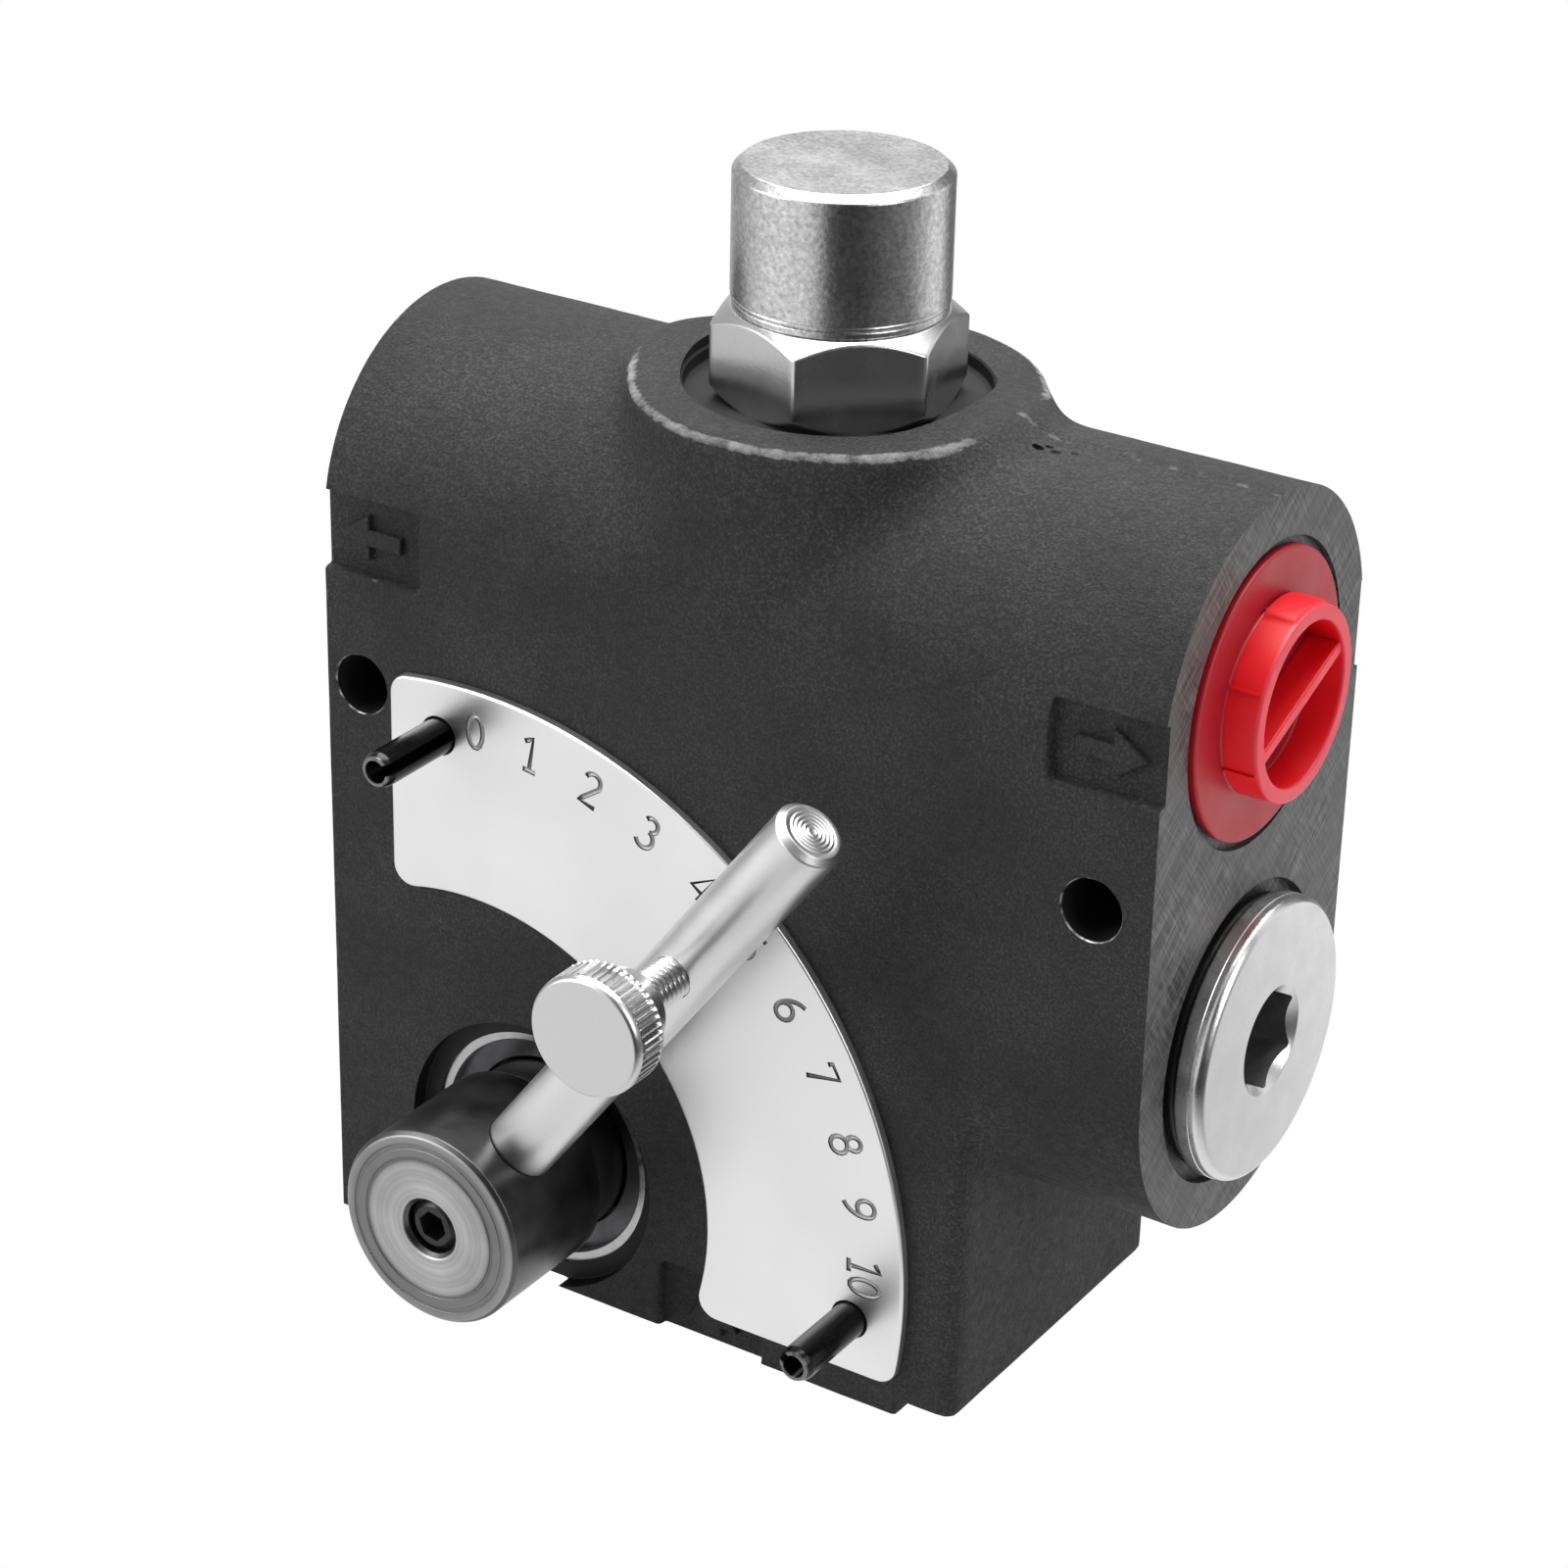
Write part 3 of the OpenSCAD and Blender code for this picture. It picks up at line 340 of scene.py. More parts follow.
def prism(name, outline, low, high, *finishes, place=None, edge=0.0):
    """A flat outline in mm pushed from low to high, with its rim eased inwards at the top by edge."""
    outline = [Vector(p) for p in outline]
    count = len(outline)
    if edge:
        inset = []
        for i, p in enumerate(outline):
            a, b = (p - outline[i - 1]).normalized(), (outline[(i + 1) % count] - p).normalized()
            way = Vector((-(a.y + b.y), a.x + b.x))
            way = way.normalized() / max(way.length / 2, 0.3)
            inset.append(way)
        levels = [(low, 0.0)] + [
            (high - edge * (1 - math.sin(t)), edge * (1 - math.cos(t)))
            for t in (math.radians(a) for a in (0, 22.5, 45, 67.5, 90))
        ]
    else:
        inset, levels = [Vector((0, 0))] * count, [(low, 0.0), (high, 0.0)]
    points = [(*(p + w * e), h) for h, e in levels for p, w in zip(outline, inset)]
    faces = [list(range(count))[::-1], [len(points) - count + i for i in range(count)]]
    for row in range(len(levels) - 1):
        for i in range(count):
            n = (i + 1) % count
            faces.append([row * count + i, row * count + n, (row + 1) * count + n, (row + 1) * count + i])
    piece = mesh_piece(name, points, faces, *finishes)
    face_outwards(piece)
    if place is not None:
        piece.data.transform(place)
    return piece


def plain_copy(piece):
    """Replaces a piece's mesh by its evaluated one and drops the modifiers."""
    graph = bpy.context.evaluated_depsgraph_get()
    graph.update()
    mesh = bpy.data.meshes.new_from_object(piece.evaluated_get(graph), preserve_all_data_layers=True,
                                           depsgraph=graph)
    piece.modifiers.clear()
    piece.data = mesh
    return piece


def cut(piece, *tools, operation="DIFFERENCE"):
    """Cuts the tools out of a piece, or joins them to it, and throws the tools away."""
    group = bpy.data.collections.new("tools")
    bpy.context.scene.collection.children.link(group)
    for tool in tools:
        group.objects.link(tool)
    step = piece.modifiers.new("cut", "BOOLEAN")
    step.operation, step.solver, step.operand_type = operation, "EXACT", "COLLECTION"
    step.collection, step.material_mode = group, "TRANSFER"
    plain_copy(piece)
    for tool in tools:
        bpy.data.objects.remove(tool)
    bpy.data.collections.remove(group)
    return piece


def put(piece, body, slot, *nodes, crease=32):
    """Brings a finished mesh to metres, evens its shading, hangs it on its body's empty and hides the CAD
    parts that it stands for.
    """
    piece.data.transform(Matrix.Diagonal((MM, MM, MM, 1)))
    piece.data.shade_smooth()
    piece.data.set_sharp_from_angle(angle=math.radians(crease))
    piece.modifiers.new("even", "WEIGHTED_NORMAL").keep_sharp = True
    plain_copy(piece)
    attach(piece, body)
    if nodes:
        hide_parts(*nodes)
    return piece


def material(name, colour, metallic, roughness, **more):
    """Starts a material: returns it, its tree, its shader and the Object coordinates."""
    made = bpy.data.materials.new(name)
    made.use_nodes = True
    tree = made.node_tree
    tree.nodes.clear()
    shell = add(tree, "ShaderNodeBsdfPrincipled", None, Base_Color=linear(colour), Metallic=metallic,
                Roughness=roughness, **more)
    add(tree, "ShaderNodeOutputMaterial", None, Surface=shell)
    return made, tree, shell, add(tree, "ShaderNodeTexCoord").outputs["Object"]


def uneven_gloss(tree, shell, pattern, least, most):
    """Lets a finish's roughness wander between two values as a noise does."""
    rough = add(tree, "ShaderNodeMapRange", None, Value=pattern, From_Min=0.3, From_Max=0.7,
                To_Min=least, To_Max=most)
    tree.links.new(rough.outputs[0], shell.inputs["Roughness"])


def two_tone(tree, shell, pattern, dark, pale):
    """Colours a finish between two tones as a pattern goes from nought to one."""
    tone = add(tree, "ShaderNodeMix", {"data_type": "RGBA"}, Factor=pattern, in6=linear(dark),
               in7=linear(pale))
    tree.links.new(tone.outputs[2], shell.inputs["Base Color"])


def raised(tree, shell, pattern, height, strength):
    """Gives a finish the fine relief of a pattern, its height in metres."""
    bump = add(tree, "ShaderNodeBump", None, Height=pattern, Distance=height, Strength=strength)
    tree.links.new(bump.outputs[0], shell.inputs["Normal"])


# Phosphated sand casting: dull near-black with a fine sand grain and rubbed, lighter edges.
cast_iron, tree, shell, here = material("sand_cast_iron_phosphated", "262627", 0.0, 0.6,
                                        Specular_IOR_Level=0.28)
grain = add(tree, "ShaderNodeTexNoise", None, Vector=here, Scale=2200.0, Detail=4.0, Roughness=0.72)
lumps = add(tree, "ShaderNodeTexNoise", None, Vector=here, Scale=650.0, Detail=4.0, Roughness=0.6)
clouds = add(tree, "ShaderNodeTexNoise", None, Vector=here, Scale=42.0, Detail=5.0, Roughness=0.6)
tone = add(tree, "ShaderNodeMapRange", None, Value=clouds, From_Min=0.3, From_Max=0.7)
base = add(tree, "ShaderNodeMix", {"data_type": "RGBA"}, Factor=tone, in6=linear("171717"),
           in7=linear("202020"))
bright_grain = add(tree, "ShaderNodeMapRange", None, Value=grain, From_Min=0.46, From_Max=0.74, To_Max=0.8)
patchy = add(tree, "ShaderNodeMapRange", None, Value=clouds, From_Min=0.36, From_Max=0.62, To_Min=0.45,
             To_Max=1.1)
bright_grain = add(tree, "ShaderNodeMath", {"operation": "MULTIPLY"}, in0=bright_grain, in1=patchy)
with_grain = add(tree, "ShaderNodeMix", {"data_type": "RGBA"}, Factor=bright_grain, in6=base.outputs[2],
                 in7=linear("4c4c4c"))
rub = add(tree, "ShaderNodeAttribute", {"attribute_name": "rubbed"})
chips = add(tree, "ShaderNodeTexNoise", None, Vector=here, Scale=330.0, Detail=6.0, Roughness=0.72)
rubbed = add(tree, "ShaderNodeMath", {"operation": "ADD"}, in0=rub.outputs["Fac"], in1=chips)
rubbed = add(tree, "ShaderNodeMapRange", None, Value=rubbed, From_Min=1.05, From_Max=1.5, To_Max=0.9)
final = add(tree, "ShaderNodeMix", {"data_type": "RGBA"}, Factor=rubbed, in6=with_grain.outputs[2],
            in7=linear("9c9c9c"))
tree.links.new(final.outputs[2], shell.inputs["Base Color"])
uneven_gloss(tree, shell, lumps, 0.52, 0.7)
coarse = add(tree, "ShaderNodeBump", None, Height=lumps, Distance=0.0005, Strength=0.6)
fine = add(tree, "ShaderNodeBump", None, Height=grain, Distance=0.0004, Strength=1.0, Normal=coarse)
tree.links.new(fine.outputs[0], shell.inputs["Normal"])

# Milled and bored iron under the same phosphate: smoother, with crossing cutter marks.
milled_iron, tree, shell, here = material("milled_iron_phosphated", "4a4a4b", 0.35, 0.46)
marks = []
for lean, across in ((38, 2600.0), (-52, 1900.0)):
    laid = add(tree, "ShaderNodeMapping", {"vector_type": "TEXTURE"}, Vector=here,
               Rotation=(math.radians(lean), 0, 0),
               Scale=(1 / across, 1 / across, 12 / across))
    marks.append(add(tree, "ShaderNodeTexNoise", None, Vector=laid, Scale=1.0, Detail=2.0, Roughness=0.5))
crossed = add(tree, "ShaderNodeMath", {"operation": "ADD"}, in0=marks[0], in1=marks[1])
clouds = add(tree, "ShaderNodeTexNoise", None, Vector=here, Scale=120.0, Detail=5.0, Roughness=0.65)
streaks = add(tree, "ShaderNodeMapRange", None, Value=crossed, From_Min=0.82, From_Max=1.3)
base = add(tree, "ShaderNodeMix", {"data_type": "RGBA"}, Factor=streaks, in6=linear("2c2c2c"),
           in7=linear("686868"))
stain = add(tree, "ShaderNodeMapRange", None, Value=clouds, From_Min=0.4, From_Max=0.62, To_Max=0.75)
final = add(tree, "ShaderNodeMix", {"data_type": "RGBA"}, Factor=stain, in6=base.outputs[2],
            in7=linear("565656"))
tree.links.new(final.outputs[2], shell.inputs["Base Color"])
uneven_gloss(tree, shell, clouds, 0.36, 0.55)
raised(tree, shell, crossed, 0.0001, 0.35)

# Bores, counterbores, mount holes and the relief spotface: nearly black, a painted shade for the shade that
# falls inside them, with a faint random mottle.
bored_iron, tree, shell, here = material("bored_iron_oily", "1b1b1c", 0.1, 0.55, Specular_IOR_Level=0.2)
clouds = add(tree, "ShaderNodeTexNoise", None, Vector=here, Scale=300.0, Detail=4.0)
two_tone(tree, shell, clouds, "121213", "28282a")

# Thin edges of drilled holes, rubbed to bare iron.
worn_iron, tree, shell, here = material("iron_edge_rubbed_bare", "8a8a8a", 0.6, 0.4)
nicks = add(tree, "ShaderNodeTexNoise", None, Vector=here, Scale=700.0, Detail=4.0)
nicks = add(tree, "ShaderNodeMapRange", None, Value=nicks, From_Min=0.42, From_Max=0.6)
two_tone(tree, shell, nicks, "3a3a3a", "b0b0b0")


def run_tree(piece, group, **values):
    """Runs a Geometry Nodes group on a piece, its inputs set by identifier, and keeps the plain mesh."""
    step = piece.modifiers.new(group.name, "NODES")
    step.node_group = group
    sockets = {s.name: s.identifier for s in group.interface.items_tree if s.in_out == "INPUT"}
    for name, value in values.items():
        step[sockets[name.replace("_", " ")]] = value
    return plain_copy(piece)


def round_group(name, *sizes):
    """Starts a Geometry Nodes group round Z: returns it, its inputs, X Y Z, turn, radius and (x, y)."""
    group = bpy.data.node_groups.new(name, "GeometryNodeTree")
    group.interface.new_socket("Geometry", in_out="OUTPUT", socket_type="NodeSocketGeometry")
    group.interface.new_socket("Geometry", in_out="INPUT", socket_type="NodeSocketGeometry")
    for size in sizes:
        group.interface.new_socket(size, in_out="INPUT", socket_type="NodeSocketFloat")
    group.interface.new_socket("Finish", in_out="INPUT", socket_type="NodeSocketMaterial")
    given = add(group, "NodeGroupInput")
    spot = add(group, "ShaderNodeSeparateXYZ", None, Vector=add(group, "GeometryNodeInputPosition"))
    turn = add(group, "ShaderNodeMath", {"operation": "ARCTAN2"}, in0=spot.outputs["Y"],
               in1=spot.outputs["X"])
    turn = add(group, "ShaderNodeMath", {"operation": "DIVIDE"}, in0=turn, in1=2 * math.pi)
    flat = add(group, "ShaderNodeCombineXYZ", None, X=spot.outputs["X"], Y=spot.outputs["Y"])
    radius = add(group, "ShaderNodeVectorMath", {"operation": "LENGTH"}, in0=flat).outputs["Value"]
    return group, given.outputs, spot.outputs, turn, radius, flat


def close_round_group(group, given, spot, radius, flat, depth_field):
    """Moves each point inwards by a depth, then realizes, sets the material and ends the group."""
    share = add(group, "ShaderNodeMath", {"operation": "DIVIDE"}, in0=depth_field, in1=radius)
    shift = add(group, "ShaderNodeVectorMath", {"operation": "SCALE"}, in0=flat, Scale=share)
    away = add(group, "ShaderNodeVectorMath", {"operation": "SCALE"}, in0=shift, Scale=-1.0)
    moved = add(group, "GeometryNodeSetPosition", None, Geometry=given["Geometry"], Offset=away)
    solid = add(group, "GeometryNodeRealizeInstances", None, Geometry=moved)
    painted = add(group, "GeometryNodeSetMaterial", None, Geometry=solid, Material=given["Finish"])
    add(group, "NodeGroupOutput", None, Geometry=painted)


def band_mask(group, height, start, end, fade):
    """One inside a band of heights, falling to nought over fade at each end."""
    first = add(group, "ShaderNodeMath", {"operation": "ADD"}, in0=start, in1=fade)
    last = add(group, "ShaderNodeMath", {"operation": "SUBTRACT"}, in0=end, in1=fade)
    rise = add(group, "ShaderNodeMapRange", {"interpolation_type": "SMOOTHSTEP"}, Value=height,
               From_Min=start, From_Max=first)
    fall = add(group, "ShaderNodeMapRange", {"interpolation_type": "SMOOTHSTEP"}, Value=height,
               From_Min=last, From_Max=end,
               To_Min=1.0, To_Max=0.0)
    return add(group, "ShaderNodeMath", {"operation": "MULTIPLY"}, in0=rise, in1=fall)


# Screw thread: a V groove that climbs one pitch a turn, fading out at both ends.
screw_thread, given, spot, turn, radius, flat = round_group(
    "screw_thread", "Pitch", "Depth", "Start", "End", "Least radius")
climb = add(screw_thread, "ShaderNodeMath", {"operation": "DIVIDE"}, in0=spot["Z"], in1=given["Pitch"])
phase = add(screw_thread, "ShaderNodeMath", {"operation": "SUBTRACT"}, in0=climb, in1=turn)
phase = add(screw_thread, "ShaderNodeMath", {"operation": "ADD"}, in0=phase, in1=2000.0)
wave = add(screw_thread, "ShaderNodeMath", {"operation": "PINGPONG"}, in0=phase, in1=0.5)
groove = add(screw_thread, "ShaderNodeMapRange", None, Value=wave, From_Min=0.06, From_Max=0.45)
mask = band_mask(screw_thread, spot["Z"], given["Start"], given["End"], given["Pitch"])
outer = add(screw_thread, "ShaderNodeMath", {"operation": "GREATER_THAN"}, in0=radius,
            in1=given["Least radius"])
mask = add(screw_thread, "ShaderNodeMath", {"operation": "MULTIPLY"}, in0=mask, in1=outer)
depth = add(screw_thread, "ShaderNodeMath", {"operation": "MULTIPLY"}, in0=groove, in1=given["Depth"])
depth = add(screw_thread, "ShaderNodeMath", {"operation": "MULTIPLY"}, in0=depth, in1=mask)
close_round_group(screw_thread, given, spot, radius, flat, depth)


def threaded_tool(name, radius, length, mouth, pitch, depth, place):
    """The cutter for a tapped port: a spotface mouth or chamfer, then the threaded bore, ending flat."""
    rows = [(radius, -k * pitch / 6) for k in range(int((length - 1.2) * 6 / pitch))][6:]
    profile = [(0, 4), (mouth[0], 4), (mouth[0], -mouth[1]), (radius + 1.1, -mouth[1]),
               (radius + 0.02, -mouth[1] - 1.1)]
    profile += [p for p in rows if p[1] < -mouth[1] - 1.3]
    profile += [(radius, -length + 0.6), (radius - 0.6, -length), (0, -length)]
    tool = turned(name, profile, milled_iron, steps=72)
    run_tree(tool, screw_thread, Pitch=pitch, Depth=-depth, Start=-length + 1.0, End=-mouth[1] - 0.9,
             Least_radius=radius - 0.1, Finish=milled_iron)
    tool.data.transform(place)
    return tool


def rounded_rect(w, h, r, steps=5):
    """Outline of a w by h rectangle about the origin with corner radius r, anticlockwise."""
    line = []
    for cx, cy, start in ((1, 1, 0), (-1, 1, 90), (-1, -1, 180), (1, -1, 270)):
        for k in range(steps + 1):
            t = math.radians(start + 90 * k / steps)
            line.append((cx * (w / 2 - r) + r * math.cos(t), cy * (h / 2 - r) + r * math.sin(t)))
    return line


def stacked(name, outlines, *finishes, place=None):
    """A closed solid through outlines of equal count, each a list of (x, y) with its height."""
    count = len(outlines[0][0])
    points = [(x, y, h) for line, h in outlines for x, y in line]
    faces = [list(range(count)), [len(points) - count + i for i in range(count)][::-1]]
    for row in range(len(outlines) - 1):
        for i in range(count):
            n = (i + 1) % count
            faces.append([row * count + i, (row + 1) * count + i, (row + 1) * count + n, row * count + n])
    piece = mesh_piece(name, points, faces, *finishes)
    face_outwards(piece)
    if place is not None:
        piece.data.transform(place)
    return piece


LABEL_W, LABEL_H, LABEL_DEPTH, ARROW_RISE = 17.0, 11.2, 1.5, 0.9
# pocket centres (x, z) and the way each arrow points, in degrees from +X
LABELS = [(-57.5, PORT_Z, 180), (57.5, PORT_Z, 0), (0.0, 5.1, 90)]


def label_tool(name, side, x, z, way):
    """Cutter for a cast label pocket: rolled lip, drafted walls, and a flow arrow left on its floor."""
    steps = [(1.0, 0.75), (0.0, 0.6), (-0.12, 0.32), (-0.35, 0.12), (-0.6, 0.0), (-1.25, -0.1),
             (-1.45, -0.22), (-1.5, -0.45)]
    walls = [(rounded_rect(LABEL_W + 2 * e, LABEL_H + 2 * e, 0.9 + max(e, -0.4)), h) for h, e in steps]
    tool = stacked(name, walls, cast_iron)
    length, width = 0.6 * LABEL_W, 0.6 * LABEL_H
    if way == 90:
        length, width = 0.6 * LABEL_H + 0.9, 0.5 * LABEL_W
    head, a, w = width * 0.72, length / 2, width / 5.5
    outline = [(-a, -w), (a - head, -w), (a - head, -width / 2), (a, 0), (a - head, width / 2),
               (a - head, w), (-a, w)]
    arrow = prism("arrow", outline, -LABEL_DEPTH - 0.5, -LABEL_DEPTH + ARROW_RISE, cast_iron, edge=0.3,
                  place=Matrix.Rotation(math.radians(way), 4, "Z"))
    cut(tool, arrow)
    tilt = Matrix.Rotation(math.radians(90), 4, "X")
    if side > 0:
        half_turn = Matrix.Rotation(math.radians(180), 4, "Z")
        tilt = half_turn @ tilt if way == 90 else half_turn @ Matrix.Diagonal((1, -1, 1, 1)) @ tilt
    tool.data.transform(Matrix.Translation((x, side * LOBE_R, z)) @ tilt)
    face_outwards(tool)
    return tool


SHAFT_X, SHAFT_Z = -30.9, 20.0
SHAFT = (SHAFT_X, FRONT_Y, SHAFT_Z)
MOUNT_X, MOUNT_Z, MOUNT_R = (-59.2, 56.3), 86.0, 4.35
PINS = {"zero": (-44.8, 82.8, 20), "ten": (23.8, 13.9, 150)}
G34_PITCH, G34_DEPTH = 1.814, 0.9
PORT_R, PORT_DEPTH, GALLERY_R = 12.2, 20, 8

points, quads = surface_net(casting_skin, (-71.3, -31.3, -6.3), (71, 31, 140), NET_PITCH)
skin = []
for p in points:
    v = Vector(p)
    dent = 0.10 * (0.5 + 0.5 * noise.noise(v / 9.0)) + 0.05 * (0.5 + 0.5 * noise.noise(v / 2.3))
    skin.append(dent)
slope = steepest(casting_skin, points)
slope /= np.maximum(np.linalg.norm(slope, axis=1), 1e-6)[:, None]
points = points - slope * np.array(skin)[:, None]
casting = mesh_piece("valve_casting", points, quads, cast_iron, milled_iron)
face_outwards(casting)

far = 30.0
tools = [
    prism("right_end_cut", [(END_X, -40), (END_X + far, -40), (END_X + far, 40), (END_X, 40)], -20, 160,
          milled_iron),
    prism("left_end_cut", [(-END_X - far, -40), (-END_X, -40), (-END_X, 40), (-END_X - far, 40)], -20, 160,
          milled_iron),
    prism("bottom_cut", [(-80, -40), (80, -40), (80, 40), (-80, 40)], -20, 0, milled_iron),
    threaded_tool("right_port", PORT_R, PORT_DEPTH, (20.75, 1.0), G34_PITCH, G34_DEPTH,
                  axis_frame((1, 0, 0), (END_X, 0, PORT_Z))),
    threaded_tool("left_port", PORT_R, PORT_DEPTH, (20.75, 1.0), G34_PITCH, G34_DEPTH,
                  axis_frame((-1, 0, 0), (-END_X, 0, PORT_Z))),
    threaded_tool("inlet_port", PORT_R, PORT_DEPTH, (13.3, 0.0), G34_PITCH, G34_DEPTH,
                  axis_frame((0, 0, -1), (0, 0, 0))),
    turned("spool_bore", [(0, -90), (21, -90), (21, -END_X + 1.6), (16.7, -END_X + 1.6), (16.7, -47),
                          (12, -47), (12, 47),
                          (16.7, 47), (16.7, END_X - 1.6), (21, END_X - 1.6), (21, 90), (0, 90)],
           milled_iron, place=axis_frame((1, 0, 0), (0, 0, SPOOL_Z))),
    turned("shaft_bore", eased((0, -6), (20.9, -6), (20.9, -0.3), (20.6, 0), (20.6, 2.7, 0.25), (18.0, 2.7),
                               (18.0, 3.15),
                               (18.7, 3.15), (18.7, 4.75), (18.0, 4.75), (18.0, 7.0), (14.02, 7.0),
                               (14.02, 42), (0, 42)),
           bored_iron, place=axis_frame((0, 1, 0), SHAFT)),
    turned("relief_bore", eased((0, 170), (20.8, 170), (20.8, BOSS_Z), (20.5, BOSS_Z - 0.3),
                                (20.5, 134.05, 0.3),
                                (13.9, 134.05), (13.05, 133.2), (13.05, 116.05), (10.55, 116.05),
                                (10.55, 96), (0, 96)), bored_iron),
    turned("inlet_gallery", [(0, 18), (GALLERY_R, 18), (GALLERY_R, SPOOL_Z), (0, SPOOL_Z)], milled_iron,
           steps=40),
    turned("cross_gallery", [(0, SHAFT_X), (6.4, SHAFT_X), (6.4, 0), (0, 0)], milled_iron, steps=40,
           place=axis_frame((1, 0, 0), (0, 0, SHAFT_Z))),
    turned("controlled_riser", [(0, SPOOL_Z), (GALLERY_R, SPOOL_Z), (GALLERY_R, PORT_Z), (0, PORT_Z)],
           milled_iron, steps=40,
           place=Matrix.Translation((SHAFT_X - 3, 0, 0))),
    turned("bypass_riser", [(0, SPOOL_Z), (GALLERY_R, SPOOL_Z), (GALLERY_R, PORT_Z), (0, PORT_Z)],
           milled_iron, steps=40,
           place=Matrix.Translation((26, 0, 0))),
    turned("controlled_outlet", [(0, -50), (GALLERY_R, -50), (GALLERY_R, SHAFT_X - 3), (0, SHAFT_X - 3)],
           milled_iron, steps=40,
           place=axis_frame((1, 0, 0), (0, 0, PORT_Z))),
    turned("bypass_outlet", [(0, 0), (GALLERY_R, 0), (GALLERY_R, 50), (0, 50)], milled_iron, steps=40,
           place=axis_frame((1, 0, 0), (0, 0, PORT_Z))),
]
for x in MOUNT_X:
    drilled = turned("mount_hole", [(0, -40), (MOUNT_R + 12.7, -40), (MOUNT_R + 0.25, -LOBE_R - 0.05),
                                    (MOUNT_R, -LOBE_R + 0.3),
                                    (MOUNT_R, LOBE_R - 0.3), (MOUNT_R + 0.25, LOBE_R + 0.05),
                                    (MOUNT_R + 12.7, 40), (0, 40)],
                     bored_iron, worn_iron, steps=56, place=axis_frame((0, 1, 0), (x, 0, MOUNT_Z)))
    for face in drilled.data.polygons:
        face.material_index = int(abs(face.center.y) > LOBE_R - 0.4)
    tools.append(drilled)
for x, z, _ in PINS.values():
    tools.append(turned("pin_hole", [(0, -1), (2.62, -1), (2.62, 12.3), (0, 12.3)], milled_iron, steps=32,
                        place=axis_frame((0, 1, 0), (x, FRONT_Y, z))))
for x, z, way in LABELS:
    for side in (-1, 1):
        tools.append(label_tool("label_pocket", side, x, z, way))
# a few sand holes beside the parting line, close to the boss
for x, y, r in ((30.5, -2.6, 0.55), (32.0, -3.3, 0.75), (33.2, -2.2, 0.45), (34.6, -3.0, 0.6),
                (36.9, -2.2, 0.4), (31.2, -1.1, 0.35)):
    spot = Matrix.Translation((x, y, 134.9 - 0.02 * y * y)) @ Matrix.Diagonal((1.5, 0.9, 0.8, 1))
    pit = [(0, -r), (0.7 * r, -0.7 * r), (r, 0), (0.7 * r, 0.7 * r), (0, r)]
    tools.append(turned("sand_hole", pit, cast_iron, steps=10, place=spot))
cut(casting, *tools)

co = np.array([v.co for v in casting.data.vertices])
x, y, z = co.T
rub = np.zeros(len(co))
rim = np.hypot(np.hypot(x, y) - BOSS_R + 0.4, z - BOSS_Z + 0.3)
rub = np.maximum(rub, 0.76 * np.clip(1.6 - rim, 0, 1))
rub = np.maximum(rub, 0.5 * np.clip(np.abs(x) - END_X + 1.2, 0, 1))
rub = np.maximum(rub, 0.6 * (x > 27) * (z > 130) * np.clip(1.4 - np.abs(y - PARTING_Y), 0, 1))
corner = np.hypot(np.abs(x - BLOCK_RIGHT), np.abs(y) - LOBE_R) < 2.2
rub = np.maximum(rub, 0.45 * corner * (z < 32))
for lx, lz, _ in LABELS:
    lip = np.maximum(np.abs(x - lx) - LABEL_W / 2, np.abs(z - lz) - LABEL_H / 2)
    rub = np.maximum(rub, 0.5 * np.clip(1.0 - np.abs(lip - 0.2), 0, 1) * (np.abs(y) > LOBE_R - 0.5))
casting.data.attributes.new("rubbed", "FLOAT", "POINT").data.foreach_set("value", rub.astype(np.float32))
put(casting, "body", "cast_body", "valve_body", crease=34)

# ---------- dial plate ----------
# Stamped steel sector plate, nickel plated and tumbled, with a rolled rim and struck numerals.
# The two stop pins go through it into the casting and hold it.

PLATE_X, PLATE_Z, PLATE_OUT, PLATE_IN = -39.9, 19.0, 72.0, 40.2
PLATE_LEFT, PLATE_BOTTOM, PLATE_T, PLATE_CORNER = -53.1, 5.5, 1.5, 3.0
NUMERAL_H, NUMERAL_AT, STROKE_R = 5.0, 65.4, 0.42
NUMERAL_TURNS = (89.2, 81.1, 72.1, 63.3, 54.2, 45.4, 36.7, 28.0, 19.1, 10.8, 1.4)


def arc(cx, cy, rx, ry, start, end, steps=14):
    """Points along part of an ellipse, angles in degrees."""
    turns = [math.radians(start + (end - start) * k / steps) for k in range(steps + 1)]
    return [(cx + rx * math.cos(t), cy + ry * math.sin(t)) for t in turns]


